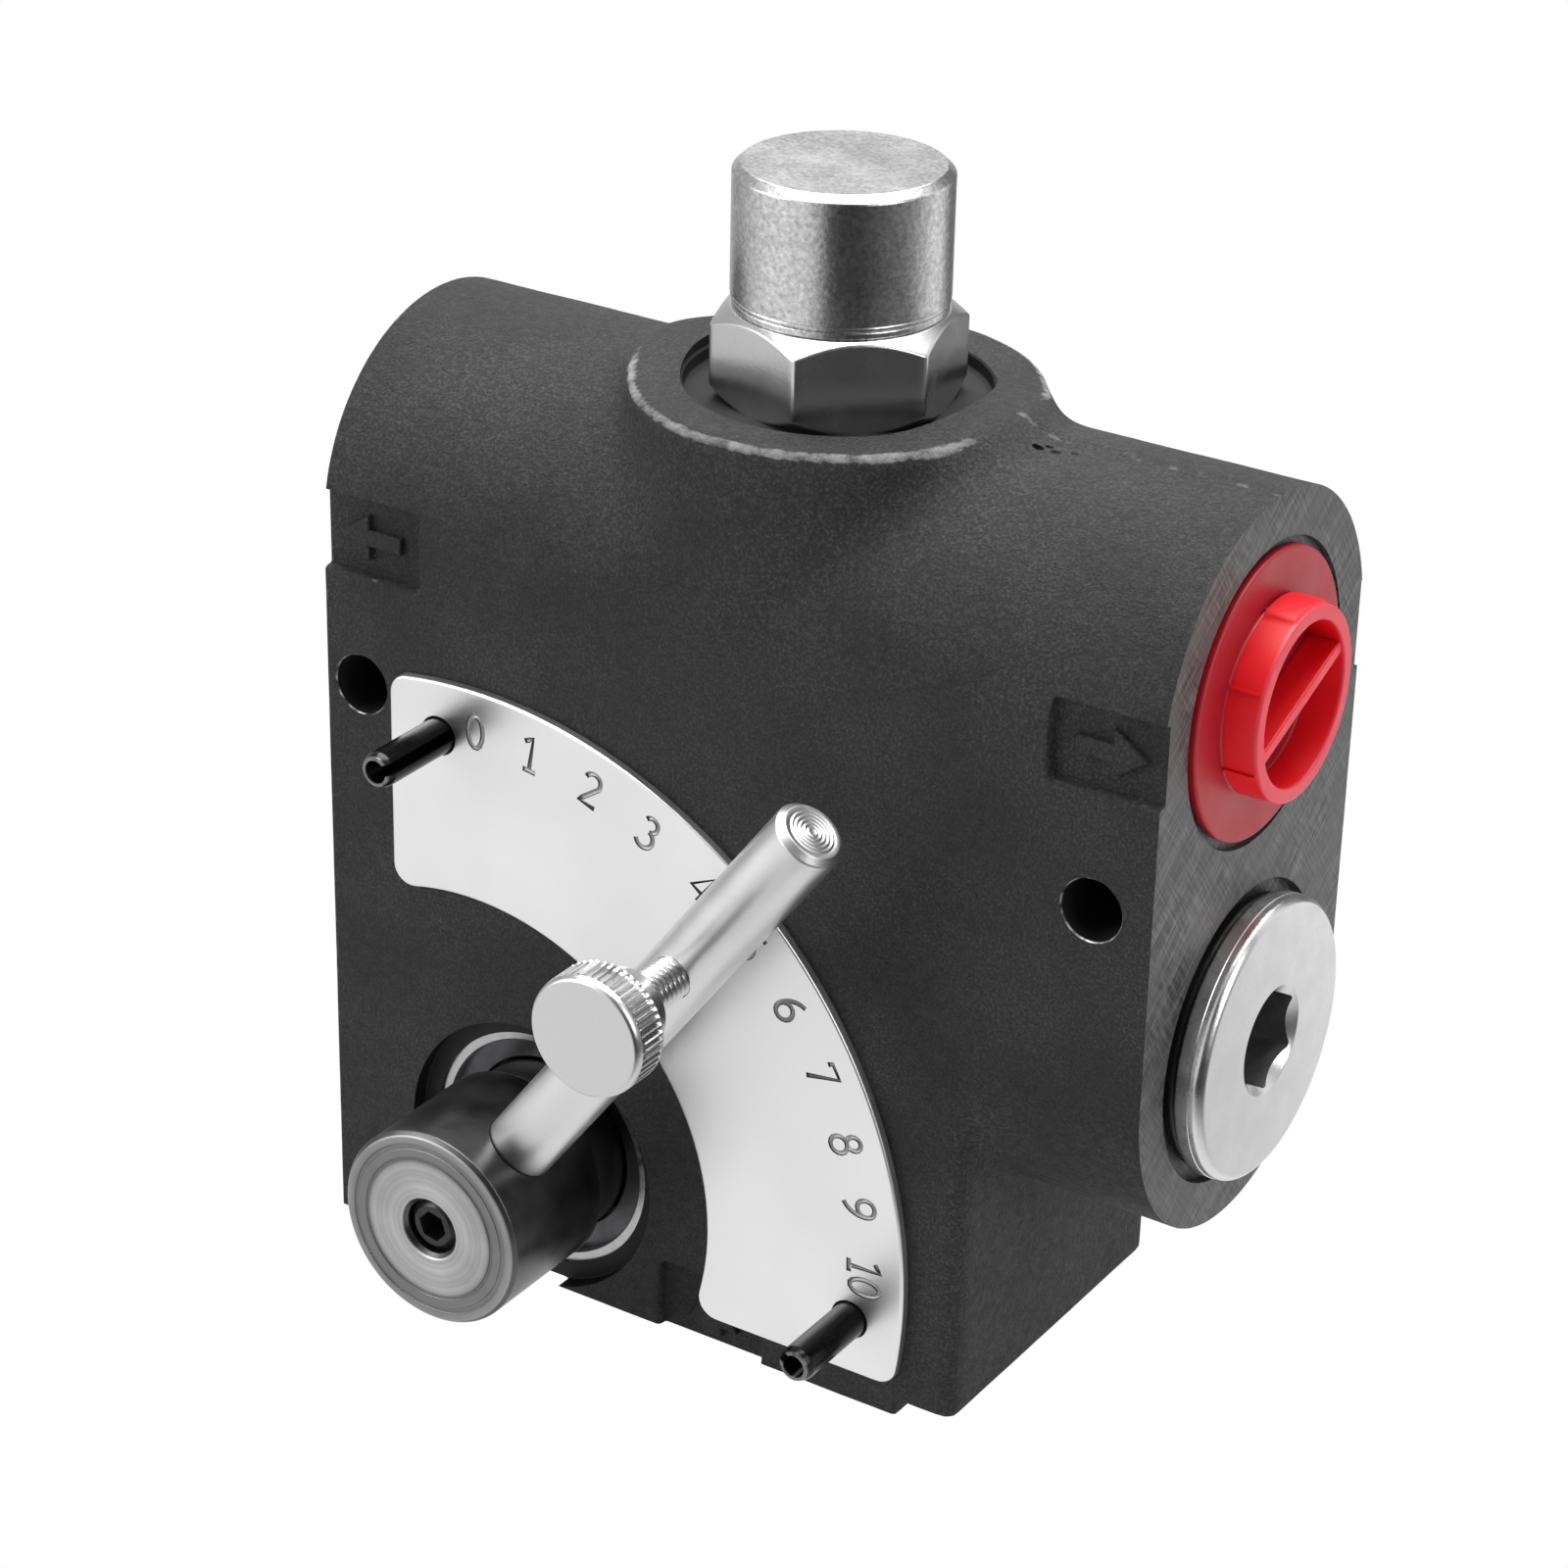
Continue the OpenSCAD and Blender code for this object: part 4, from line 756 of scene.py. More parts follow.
def plate_outline(inset):
    """The sector's outline, anticlockwise, moved inwards by inset."""
    r, spots = PLATE_CORNER, {}
    for side, reach in (("out", PLATE_OUT - r), ("in", PLATE_IN + r)):
        x, z = PLATE_LEFT + r - PLATE_X, PLATE_BOTTOM + r - PLATE_Z
        spots[side, "left"] = (PLATE_X + x, PLATE_Z + math.sqrt(reach**2 - x * x))
        spots[side, "low"] = (PLATE_X + math.sqrt(reach**2 - z * z), PLATE_Z + z)

    def bearing(spot):
        return math.degrees(math.atan2(spot[1] - PLATE_Z, spot[0] - PLATE_X))

    turn = {key: bearing(spot) for key, spot in spots.items()}
    r -= inset
    line = arc(*spots["out", "low"], r, r, -90, turn["out", "low"], 7)
    line += arc(PLATE_X, PLATE_Z, PLATE_OUT - inset, PLATE_OUT - inset, turn["out", "low"],
                turn["out", "left"], 72)[1:-1]
    line += arc(*spots["out", "left"], r, r, turn["out", "left"], 180, 7)
    line += arc(*spots["in", "left"], r, r, 180, 180 + turn["in", "left"], 7)
    line += arc(PLATE_X, PLATE_Z, PLATE_IN + inset, PLATE_IN + inset, turn["in", "left"], turn["in", "low"],
                48)[1:-1]
    line += arc(*spots["in", "low"], r, r, 180 + turn["in", "low"], 270, 7)
    return line


NUMERALS = {
    "0": [arc(0.28, 0.5, 0.25, 0.48, 0, 360)],
    "1": [[(0.05, 0.84), (0.2, 0.93), (0.31, 1.0), (0.31, 0.0)], [(0.1, 0.0), (0.52, 0.0)]],
    "2": [arc(0.28, 0.74, 0.25, 0.25, 165, -30) + [(0.1, 0.12), (0.02, 0.01), (0.56, 0.0)]],
    "3": [arc(0.27, 0.77, 0.22, 0.22, 155, -80), arc(0.27, 0.28, 0.27, 0.28, 82, -150)],
    "4": [[(0.42, 0.0), (0.42, 1.0), (0.0, 0.3), (0.6, 0.3)]],
    "5": [[(0.5, 1.0), (0.13, 1.0), (0.09, 0.56)], arc(0.25, 0.31, 0.28, 0.31, 125, -145)],
    "6": [arc(0.62, 0.3, 0.6, 0.7, 105, 178), arc(0.28, 0.29, 0.26, 0.28, 0, 360)],
    "7": [[(0.03, 0.84), (0.05, 1.0), (0.53, 1.0), (0.18, 0.0)]],
    "8": [arc(0.28, 0.76, 0.21, 0.23, 0, 360), arc(0.28, 0.27, 0.26, 0.27, 0, 360)],
    "9": [arc(-0.06, 0.7, 0.6, 0.7, -75, -2), arc(0.28, 0.71, 0.26, 0.28, 0, 360)],
}

# Nickel over tumbled steel: pale, softly uneven, with faint handling marks.
plate_nickel, tree, shell, here = material("tumbled_nickel_plate", "e6e6e6", 1.0, 0.3)
waves = add(tree, "ShaderNodeTexNoise", None, Vector=here, Scale=55.0, Detail=2.0, Roughness=0.45)
pits = add(tree, "ShaderNodeTexNoise", None, Vector=here, Scale=1400.0, Detail=3.0, Roughness=0.6)
uneven_gloss(tree, shell, waves, 0.3, 0.42)
two_tone(tree, shell, waves, "dedede", "f2f2f2")
bump = add(tree, "ShaderNodeBump", None, Height=waves, Distance=0.0006, Strength=0.25)
bump = add(tree, "ShaderNodeBump", None, Height=pits, Distance=0.00006, Strength=0.25, Normal=bump)
tree.links.new(bump.outputs[0], shell.inputs["Normal"])

# The struck grooves: walls painted dark as painted shade, mottled by a noise, floors pale nickel; duller
# nickel throughout.
struck_nickel, tree, shell, here = material("struck_nickel_grimed", "8a8a8a", 0.9, 0.5)
grime = add(tree, "ShaderNodeTexNoise", None, Vector=here, Scale=1600.0, Detail=2.0)
tone = add(tree, "ShaderNodeMix", {"data_type": "RGBA"}, Factor=grime, in6=linear("303030"),
           in7=linear("5c5c5c"))
# the groove walls keep the dark painted shade; where the surface faces straight out, at the groove floor,
# the colour goes pale
facing_out = add(tree, "ShaderNodeSeparateXYZ", None,
                 Vector=add(tree, "ShaderNodeTexCoord").outputs["Normal"]).outputs["Y"]
groove_floor = add(tree, "ShaderNodeMapRange", None, Value=facing_out, From_Min=-0.88, From_Max=-0.98)
tone = add(tree, "ShaderNodeMix", {"data_type": "RGBA"}, Factor=groove_floor, in6=tone.outputs[2],
           in7=linear("d8d8d8"))
tree.links.new(tone.outputs[2], shell.inputs["Base Color"])

# x and height stay in the front plane, and Z comes forwards
FRONT_WAY = Matrix.Rotation(math.radians(90), 4, "X")


def on_front(x=0.0, z=0.0, y=FRONT_Y):
    """Frame whose Z axis comes out of the front face at a spot."""
    return Matrix.Translation((x, y, z)) @ FRONT_WAY


def stroke(points):
    """A round-nosed punch line through 2D points, to be cut out of the plate's face."""
    curve = bpy.data.curves.new("stroke", "CURVE")
    curve.dimensions, curve.use_fill_caps = "3D", True
    curve.bevel_depth, curve.bevel_resolution = STROKE_R, 2
    spline = curve.splines.new("POLY")
    looped = math.dist(points[0], points[-1]) < 0.01
    points = points[:-1] if looped else points
    spline.points.add(len(points) - 1)
    for spot, p in zip(spline.points, points):
        spot.co = (p[0], p[1], PLATE_T + 0.1, 1)
    spline.use_cyclic_u = looped
    holder = bpy.data.objects.new("stroke", curve)
    bpy.context.scene.collection.objects.link(holder)
    mesh = bpy.data.meshes.new_from_object(holder.evaluated_get(bpy.context.evaluated_depsgraph_get()))
    bpy.data.objects.remove(holder)
    mesh.materials.append(struck_nickel)
    punched = bpy.data.objects.new("stroke", mesh)
    bpy.context.scene.collection.objects.link(punched)
    face_outwards(punched)
    return punched


rim_steps = [(0.0, 0.12), (0.12, 0.0), (PLATE_T - 0.4, 0.0)]
rim_steps += [(PLATE_T - 0.4 + 0.4 * math.sin(t),
               0.4 * (1 - math.cos(t))) for t in (math.radians(a) for a in (20, 40, 60, 75))]
rim_steps += [(PLATE_T - 0.01, 0.4), (PLATE_T, 0.55), (PLATE_T, 0.9)]
plate = stacked("dial_sector", [(plate_outline(e), h) for h, e in rim_steps], plate_nickel)
tools = []
for number, bearing in enumerate(NUMERAL_TURNS):
    text = str(number)
    t = math.radians(bearing)
    middle = Vector((PLATE_X + 0.5 + NUMERAL_AT * math.cos(t), PLATE_Z + 0.65 + NUMERAL_AT * math.sin(t)))
    across, outward = Vector((math.sin(t), -math.cos(t))), Vector((math.cos(t), math.sin(t)))
    advance = 0.62 * NUMERAL_H
    for place, digit in enumerate(text):
        shift = (place - (len(text) - 1) / 2) * advance - 0.28 * NUMERAL_H
        for line in NUMERALS[digit]:
            path = [middle + across * (u * NUMERAL_H + shift) + outward * (v - 0.5) * NUMERAL_H
                    for u, v in line]
            tools.append(stroke([tuple(spot) for spot in path]))
for x, z, _ in PINS.values():
    tools.append(turned("pin_hole", [(0, -1), (2.66, -1), (2.66, PLATE_T - 0.25), (3.0, PLATE_T + 0.1),
                                     (3.0, 3), (0, 3)],
                        plate_nickel, steps=48, place=Matrix.Translation((x, z, 0))))
cut(plate, *tools)
plate.data.transform(on_front())
put(plate, "body", "dial_plate", "dial_plate", crease=40)

# ---------- stop pins ----------
# Slotted spring pins, rolled from blackened spring steel and pressed in. Their ends are ground bright.

PIN_R, PIN_WALL, PIN_SLOT, PIN_OUT, PIN_IN, PIN_LEAD = 2.6, 1.0, 1.6, 15.5, 12.0, 1.0

pin_steel, tree, shell, here = material("black_oxide_spring_steel", "151516", 0.6, 0.24)
drawn = add(tree, "ShaderNodeMapping", None, Vector=here, Scale=(2600.0, 120.0, 2600.0))
lines = add(tree, "ShaderNodeTexNoise", None, Vector=drawn, Scale=1.0, Detail=2.0)
tip = add(tree, "ShaderNodeSeparateXYZ", None, Vector=here).outputs["Y"]
tip = add(tree, "ShaderNodeMapRange", None, Value=tip, From_Min=(FRONT_Y - PIN_OUT + 0.30) * MM,
          From_Max=(FRONT_Y - PIN_OUT + 0.05) * MM)
wear = add(tree, "ShaderNodeTexNoise", None, Vector=here, Scale=900.0, Detail=3.0)
tip = add(tree, "ShaderNodeMath", {"operation": "MULTIPLY"}, in0=tip, in1=add(
    tree, "ShaderNodeMapRange", None, Value=wear, From_Min=0.3, From_Max=0.5, To_Min=0.35))
two_tone(tree, shell, tip, "131313", "707070")
uneven_gloss(tree, shell, lines, 0.18, 0.32)

for which, (x, z, slot_turn) in PINS.items():
    sections = []
    length = PIN_OUT + PIN_IN
    for h, thin in ((0, 0.55), (PIN_LEAD, 0.08), (PIN_LEAD + 0.3, 0.0), (length - PIN_LEAD - 0.3, 0.0),
                    (length - PIN_LEAD, 0.06), (length - 0.12, 0.42), (length, 0.52)):
        ro, ri = PIN_R - thin, PIN_R - PIN_WALL + (0.08 if thin > 0.4 else 0)
        a, b = (math.degrees(math.asin(PIN_SLOT / 2 / r)) for r in (ro, ri))
        line = arc(0, 0, ro, ro, a, 360 - a, 44) + arc(0, 0, ri, ri, 360 - b, b, 30)
        sections.append((line, h))
    pin = stacked("stop_pin_" + which + "_rolled", sections, pin_steel,
                  place=on_front(x, z, FRONT_Y + PIN_IN) @ Matrix.Rotation(math.radians(slot_turn), 4, "Z"))
    put(pin, "body", "black_pin", "stop_pin_" + which, crease=35)

# ---------- control shaft ----------
# Turned and ground steel, dark from its oil, with a lapped front face. The hollow drum behind it
# meters the flow. Held by the retaining ring and sealed by two rings on the drum.

HEAD_Y, HEAD_R, NECK_R, DRUM_R, DRUM_BORE_R = -50.95, 14.65, 13.0, 14.0, 8.0
LEVER_Y, LEVER_TURN = -40.45, 53.4
DRUM_H, SHAFT_END_H = 30.6, 64.6
LEVER_AXIS = Vector((math.cos(math.radians(LEVER_TURN)), 0, math.sin(math.radians(LEVER_TURN))))

# Ground steel, oiled: grey with fine rings round the axis; the lapped disc on the face is paler.
shaft_steel, tree, shell, here = material("ground_steel_oiled", "8a8a8b", 1.0, 0.34)
centred = add(tree, "ShaderNodeMapping", {"vector_type": "POINT"}, Vector=here,
              Location=(-SHAFT_X * MM, 0, -SHAFT_Z * MM))
parts = add(tree, "ShaderNodeSeparateXYZ", None, Vector=centred)
flat = add(tree, "ShaderNodeCombineXYZ", None, X=parts.outputs["X"], Y=parts.outputs["Z"])
radius = add(tree, "ShaderNodeVectorMath", {"operation": "LENGTH"}, in0=flat).outputs["Value"]
rings_out = add(tree, "ShaderNodeMath", {"operation": "MULTIPLY"}, in0=radius, in1=3000.0)
rings_back = add(tree, "ShaderNodeMath", {"operation": "MULTIPLY"}, in0=parts.outputs["Y"], in1=2200.0)
turns = add(tree, "ShaderNodeCombineXYZ", None, X=rings_out, Y=rings_back)
rings = add(tree, "ShaderNodeTexNoise", None, Vector=turns, Scale=1.0, Detail=2.0)
smear = add(tree, "ShaderNodeTexNoise", None, Vector=here, Scale=130.0, Detail=4.0)
front = add(tree, "ShaderNodeMapRange", None, Value=parts.outputs["Y"], From_Min=(HEAD_Y + 0.25) * MM,
            From_Max=(HEAD_Y + 0.1) * MM)
zones = add(tree, "ShaderNodeMapRange", None, Value=radius, From_Min=0.0, From_Max=15 * MM)
zone = add(tree, "ShaderNodeValToRGB", None, Fac=zones)
stops = zone.color_ramp.elements
for k, (mm, shade) in enumerate(((4.2, "d8d8d8"), (5.0, "b4b4b4"), (6.2, "bcbcbc"), (9.9, "b2b2b2"),
                                 (10.35, "7c7c7c"),
                                 (12.1, "868686"), (12.8, "8c8c8c"), (13.4, "969696"), (14.4, "b0b0b0"))):
    stop = stops[k] if k < 2 else stops.new(mm / 15)
    stop.position, stop.color = mm / 15, linear(shade)
tone = add(tree, "ShaderNodeMapRange", None, Value=smear, From_Min=0.3, From_Max=0.7)
side = add(tree, "ShaderNodeMix", {"data_type": "RGBA"}, Factor=tone, in6=linear("4c4c4c"),
           in7=linear("646464"))
worn = add(tree, "ShaderNodeTexNoise", None, Vector=turns, Scale=0.35, Detail=3.0)
worn = add(tree, "ShaderNodeMapRange", None, Value=worn, From_Min=0.35, From_Max=0.65, To_Min=0.78,
           To_Max=1.1)
blotch = add(tree, "ShaderNodeMapRange", None, Value=smear, From_Min=0.3, From_Max=0.7, To_Min=0.82,
             To_Max=1.08)
worn = add(tree, "ShaderNodeMath", {"operation": "MULTIPLY"}, in0=worn, in1=blotch)
lapped = add(tree, "ShaderNodeVectorMath", {"operation": "SCALE"}, in0=zone.outputs["Color"], Scale=worn)
final = add(tree, "ShaderNodeMix", {"data_type": "RGBA"}, Factor=front, in6=side.outputs[2], in7=lapped)
tree.links.new(final.outputs[2], shell.inputs["Base Color"])
rough = add(tree, "ShaderNodeMapRange", None, Value=smear, From_Min=0.3, From_Max=0.7, To_Min=0.28,
            To_Max=0.42)
dull = add(tree, "ShaderNodeMath", {"operation": "MULTIPLY_ADD"}, in0=front, in1=0.14, in2=rough)
tree.links.new(dull.outputs[0], shell.inputs["Roughness"])
raised(tree, shell, rings, 0.00005, 0.3)

shaft = turned("metering_shaft", eased(
    (0, 10.5), (4.05, 10.5), (4.05, 0.75, 0.1), (4.75, 0.0, 0.1), (10.4, 0.0, 0.05), (10.45, 0.12),
    (10.8, 0.12), (10.9, 0.0, 0.05),
    (12.1, 0.0, 0.05), (12.2, 0.15), (12.8, 0.15), (12.9, 0.0, 0.05), (13.95, 0.0, 0.25), (HEAD_R, 0.7, 0.3),
    (HEAD_R, 20.6, 0.25), (NECK_R, 20.6), (NECK_R, DRUM_H), (DRUM_R, DRUM_H + 0.1), (DRUM_R, 32.4),
    (12.4, 32.4), (12.4, 34.8),
    (DRUM_R, 34.8), (DRUM_R, 59.4), (12.4, 59.4), (12.4, 61.8), (DRUM_R, 61.8), (DRUM_R, SHAFT_END_H, 0.4),
    (DRUM_BORE_R, SHAFT_END_H), (DRUM_BORE_R, 34.6), (0, 34.6)), shaft_steel, steps=128)
shaft.data.transform(axis_frame((0, 1, 0), (SHAFT_X, HEAD_Y, SHAFT_Z)))
along = axis_frame(tuple(LEVER_AXIS), (SHAFT_X, LEVER_Y, SHAFT_Z))
hole = turned("lever_hole", [(0, -9.1), (5.05, -9.1), (5.05, 13.7), (5.3, 14.6), (5.3, 40), (0, 40)],
              shaft_steel, steps=64, place=along)
window = prism("inlet_window", [(5, -5.6), (17, -5.6), (17, 5.6), (5, 5.6)], -8, 8, shaft_steel,
               place=on_front(SHAFT_X, SHAFT_Z, 0))
slot_tool = prism("metering_slot", [(-4.8, -7.5), (4.8, -7.5), (0, 7.5)], 5, 17, shaft_steel,
                  place=Matrix.Translation((SHAFT_X, 0, SHAFT_Z)))
cut(shaft, hole, window, slot_tool)
put(shaft, "control", "shaft_steel", "control_shaft", crease=30)

# Set screw that clamps the lever: black alloy steel, hexagon socket.
black_screw, tree, shell, here = material("black_alloy_steel", "1f1f20", 0.6, 0.3)
oil = add(tree, "ShaderNodeTexNoise", None, Vector=here, Scale=700.0, Detail=3.0)
two_tone(tree, shell, oil, "131314", "3a3a3b")
set_screw = turned("set_screw_turned", eased((0, 0), (3.0, 0, 0.1), (3.97, 0.8, 0.2), (3.97, 4.1),
                                             (3.3, 4.5), (0, 4.5)), black_screw, steps=64)
run_tree(set_screw, screw_thread, Pitch=1.25, Depth=0.3, Start=0.9, End=4.2, Least_radius=3.5,
         Finish=black_screw)
socket = prism("hex_key_socket", [(2.31 * math.cos(math.radians(60 * k + 12)),
                                   2.31 * math.sin(math.radians(60 * k + 12))) for k in range(6)],
               -1, 3.15, black_screw)
cut(set_screw, socket)
set_screw.data.transform(axis_frame((0, 1, 0), (SHAFT_X, HEAD_Y + 0.9, SHAFT_Z)))
put(set_screw, "control", "black_screw", "lever_set_screw", crease=30)

# ---------- retaining ring and thrust washer ----------
# An internal snap ring of bright spring steel in its groove, open at the lower left with two plier lugs,
# in front of a hardened thrust washer.

RING_Y, RING_T, RING_OUT, RING_IN, RING_OPEN, LUG_TURN = -24.15, 1.5, 18.6, 16.6, 225.0, 19.0

ring_steel, tree, shell, here = material("bright_spring_steel", "b4b4b4", 1.0, 0.3)
rolled = add(tree, "ShaderNodeTexNoise", None, Vector=here, Scale=900.0, Detail=3.0)
uneven_gloss(tree, shell, rolled, 0.24, 0.4)
raised(tree, shell, rolled, 0.00006, 0.3)
washer_steel, tree, shell, here = material("hardened_steel_oiled", "4c4c4e", 1.0, 0.32)
film = add(tree, "ShaderNodeTexNoise", None, Vector=here, Scale=350.0, Detail=4.0)
two_tone(tree, shell, film, "3a3a3c", "626264")

gap_turn = math.degrees(math.asin(4.5 / RING_OUT))
outer_line = arc(0, 0, RING_OUT, RING_OUT, RING_OPEN + gap_turn - 360, RING_OPEN - gap_turn, 110)
inner_line = []
inner_gap = math.degrees(math.asin(4.5 / RING_IN))
for k in range(131):
    t = RING_OPEN - inner_gap + (RING_OPEN + inner_gap - 360 - RING_OPEN + inner_gap) * k / 130
    away = min(abs(t - (RING_OPEN - LUG_TURN)),
               abs(t - (RING_OPEN + LUG_TURN - 360))) * math.radians(1) * RING_IN
    r = RING_IN - (math.sqrt(max(1.8**2 - away**2, 0)) - 0.2 if away < 1.78 else 0)
    inner_line.append((r * math.cos(math.radians(t)), r * math.sin(math.radians(t))))
ring = prism("retaining_ring_sprung", outer_line + inner_line, 0, RING_T, ring_steel, edge=0.22)
lug_holes = [turned("plier_hole", [(0, -1), (0.8, -1), (0.8, 3), (0, 3)], ring_steel, steps=20,
                    place=Matrix.Translation(
    ((RING_IN + 0.3) * math.cos(math.radians(RING_OPEN + s * LUG_TURN)),
     (RING_IN + 0.3) * math.sin(math.radians(RING_OPEN + s * LUG_TURN)), 0)))
    for s in (-1, 1)]
cut(ring, *lug_holes)
ring.data.transform(on_front(SHAFT_X, SHAFT_Z, RING_Y + RING_T))
put(ring, "body", "ring_steel", "shaft_retaining_ring")
washer = turned("thrust_washer_ground", eased((15.6, 0), (17.95, 0, 0.2), (17.95, 2.1, 0.2),
                                              (13.3, 2.1, 0.2), (13.3, 0, 0.2), (15.6, 0))[:-1],
                washer_steel, closed=True, place=axis_frame((0, 1, 0), (SHAFT_X, -22.55, SHAFT_Z)))
put(washer, "body", "dark_steel", "shaft_thrust_washer")

# ---------- lever ----------
# Bright-drawn round bar, nickel plated, pushed through the shaft. Its end is faced and chamfered,
# and it is tapped crosswise for the thumb screw.

LEVER_R, LEVER_ROOT, LEVER_REACH, THUMB_AT = 5.0, 9.0, 90.7, 59.6

lever_nickel, tree, shell, here = material("bright_nickel_drawn_bar", "dadada", 1.0, 0.26)
laid = add(tree, "ShaderNodeMapping", {"vector_type": "TEXTURE"}, Vector=here,
           Rotation=(0, math.radians(-LEVER_TURN), 0),
           Scale=(1 / 60, 1 / 3200, 1 / 3200))
draw_lines = add(tree, "ShaderNodeTexNoise", None, Vector=laid, Scale=1.0, Detail=2.0)
cloud = add(tree, "ShaderNodeTexNoise", None, Vector=here, Scale=160.0, Detail=4.0)
uneven_gloss(tree, shell, cloud, 0.3, 0.4)
raised(tree, shell, draw_lines, 0.00004, 0.25)

lever = turned("hand_lever_bar", eased(
    (0, -LEVER_ROOT), (4.6, -LEVER_ROOT), (LEVER_R, -LEVER_ROOT + 0.4),
    *[(LEVER_R, 1.2 * k) for k in range(-6, 75)], (LEVER_R, LEVER_REACH - 0.9, 0.35),
    (4.1, LEVER_REACH, 0.12),
    *[(3.6 - 0.3 * k, LEVER_REACH - 0.1 * (k % 2)) for k in range(12)], (0, LEVER_REACH - 0.05)),
    lever_nickel, steps=96, place=along)
THUMB = Vector((SHAFT_X, LEVER_Y, SHAFT_Z)) + LEVER_AXIS * THUMB_AT
tapped = turned("tapped_cross_hole", [(0, -9), (5.6, -9), (3.55, -4.75), (3.05, -4.3), (3.05, 4.3),
                                      (3.55, 4.75), (5.6, 9), (0, 9)],
                lever_nickel, steps=48, place=axis_frame((0, -1, 0), tuple(THUMB)))
cut(lever, tapped)
put(lever, "control", "bright_lever", "control_lever", crease=30)

# ---------- thumb screw ----------
# M6 clamp screw of nickel-plated steel: threaded stud, plain collar and a straight-knurled head
# with a flat polished face.

STUD_R, STUD_LOW, STUD_HIGH = 3.0, -11.3, 19.3
COLLAR_R, COLLAR_BACK, HEAD_BACK, HEAD_FACE, THUMB_R = 5.7, 13.3, 17.8, 23.8, 8.5
thumb_frame = axis_frame((0, -1, 0), tuple(THUMB))

thumb_nickel, tree, shell, here = material("bright_nickel_turned", "d0d0d0", 1.0, 0.28)
cloud = add(tree, "ShaderNodeTexNoise", None, Vector=here, Scale=220.0, Detail=4.0)
uneven_gloss(tree, shell, cloud, 0.24, 0.36)
hair = add(tree, "ShaderNodeTexNoise", None, Vector=here, Scale=2400.0, Detail=2.0)
raised(tree, shell, hair, 0.00003, 0.25)

stud_rows = [(STUD_R, STUD_LOW + 0.7 + 0.125 * k) for k in range(int((STUD_HIGH - STUD_LOW - 0.7) / 0.125))]
stud = turned("thumb_screw_threaded_stud", [(0, STUD_LOW), (STUD_R - 0.7, STUD_LOW), *stud_rows,
                                            (STUD_R, STUD_HIGH), (0, STUD_HIGH)],
              thumb_nickel, steps=48)
run_tree(stud, screw_thread, Pitch=1.0, Depth=0.55, Start=STUD_LOW + 0.4, End=COLLAR_BACK + 1.0,
         Least_radius=2.6, Finish=thumb_nickel)
stud.data.transform(thumb_frame)
put(stud, "thumb_stud", "bright_screw", "thumb_screw_stud", crease=50)

# Straight knurl: ridges along the head's rim, running out before its edges.
straight_knurl, given, spot, turn, radius, flat = round_group(
    "straight_knurl", "Teeth", "Depth", "Start", "End", "Fade", "Least radius")
count = add(straight_knurl, "ShaderNodeMath", {"operation": "MULTIPLY_ADD"}, in0=turn, in1=given["Teeth"],
            in2=2000.0)
wave = add(straight_knurl, "ShaderNodeMath", {"operation": "PINGPONG"}, in0=count, in1=0.5)
groove = add(straight_knurl, "ShaderNodeMapRange", {"interpolation_type": "SMOOTHSTEP"}, Value=wave,
             From_Min=0.08, From_Max=0.46)
mask = band_mask(straight_knurl, spot["Z"], given["Start"], given["End"], given["Fade"])
outer = add(straight_knurl, "ShaderNodeMath", {"operation": "GREATER_THAN"}, in0=radius,
            in1=given["Least radius"])
mask = add(straight_knurl, "ShaderNodeMath", {"operation": "MULTIPLY"}, in0=mask, in1=outer)
depth = add(straight_knurl, "ShaderNodeMath", {"operation": "MULTIPLY"}, in0=groove, in1=given["Depth"])
depth = add(straight_knurl, "ShaderNodeMath", {"operation": "MULTIPLY"}, in0=depth, in1=mask)
close_round_group(straight_knurl, given, spot, radius, flat, depth)

rim_rows = [(THUMB_R, HEAD_BACK + 0.4 + 0.2 * k) for k in range(21)]
thumb_head = turned("thumb_screw_knurled_head", [
    (0, 19.35), (3.06, 19.35), (3.06, COLLAR_BACK + 0.3), (3.4, COLLAR_BACK), *eased(
        (3.5, COLLAR_BACK), (COLLAR_R, COLLAR_BACK, 0.4), (COLLAR_R, HEAD_BACK, 0.3),
    (7.9, HEAD_BACK))[1:-1],
    (7.9, HEAD_BACK), (8.2, HEAD_BACK + 0.08), (8.42, HEAD_BACK + 0.25), *rim_rows,
    *[(7.75 + 0.75 * math.cos(t),
       22.55 + 1.25 * math.sin(t)) for t in (math.radians(a) for a in (8, 22, 38, 54, 70, 84))],
    (7.72, HEAD_FACE), (7.6, HEAD_FACE), (0, HEAD_FACE)], thumb_nickel, steps=416)
run_tree(thumb_head, straight_knurl, Teeth=52.0, Depth=0.5, Start=HEAD_BACK + 0.1, End=22.75, Fade=0.7,
         Least_radius=8.1, Finish=thumb_nickel)
thumb_head.data.transform(thumb_frame)
put(thumb_head, "thumb_head", "bright_screw", "thumb_screw_head", crease=28)

# ---------- spool plugs ----------
# Hollow-hexagon screw plugs, turned steel with bright zinc plate, sealed by a rubber ring under
# the head in a counterbore at each end of the compensator's bore.

PLUG_HEAD_R, PLUG_STAND, PLUG_TOP, PLUG_THREAD_R, PLUG_KEY, KEY_DEPTH = 19.65, 0.8, 4.7, 16.6, 12.8, 9.0
SEAL_R, SEAL_HALF, SEAL_X = 17.75, 1.15, 64.6

zinc_bright, tree, shell, here = material("bright_zinc_turned", "dedede", 1.0, 0.26)
cloud = add(tree, "ShaderNodeTexNoise", None, Vector=here, Scale=240.0, Detail=4.0)
uneven_gloss(tree, shell, cloud, 0.22, 0.36)
fine = add(tree, "ShaderNodeTexNoise", None, Vector=here, Scale=2000.0, Detail=3.0)
raised(tree, shell, fine, 0.00005, 0.35)

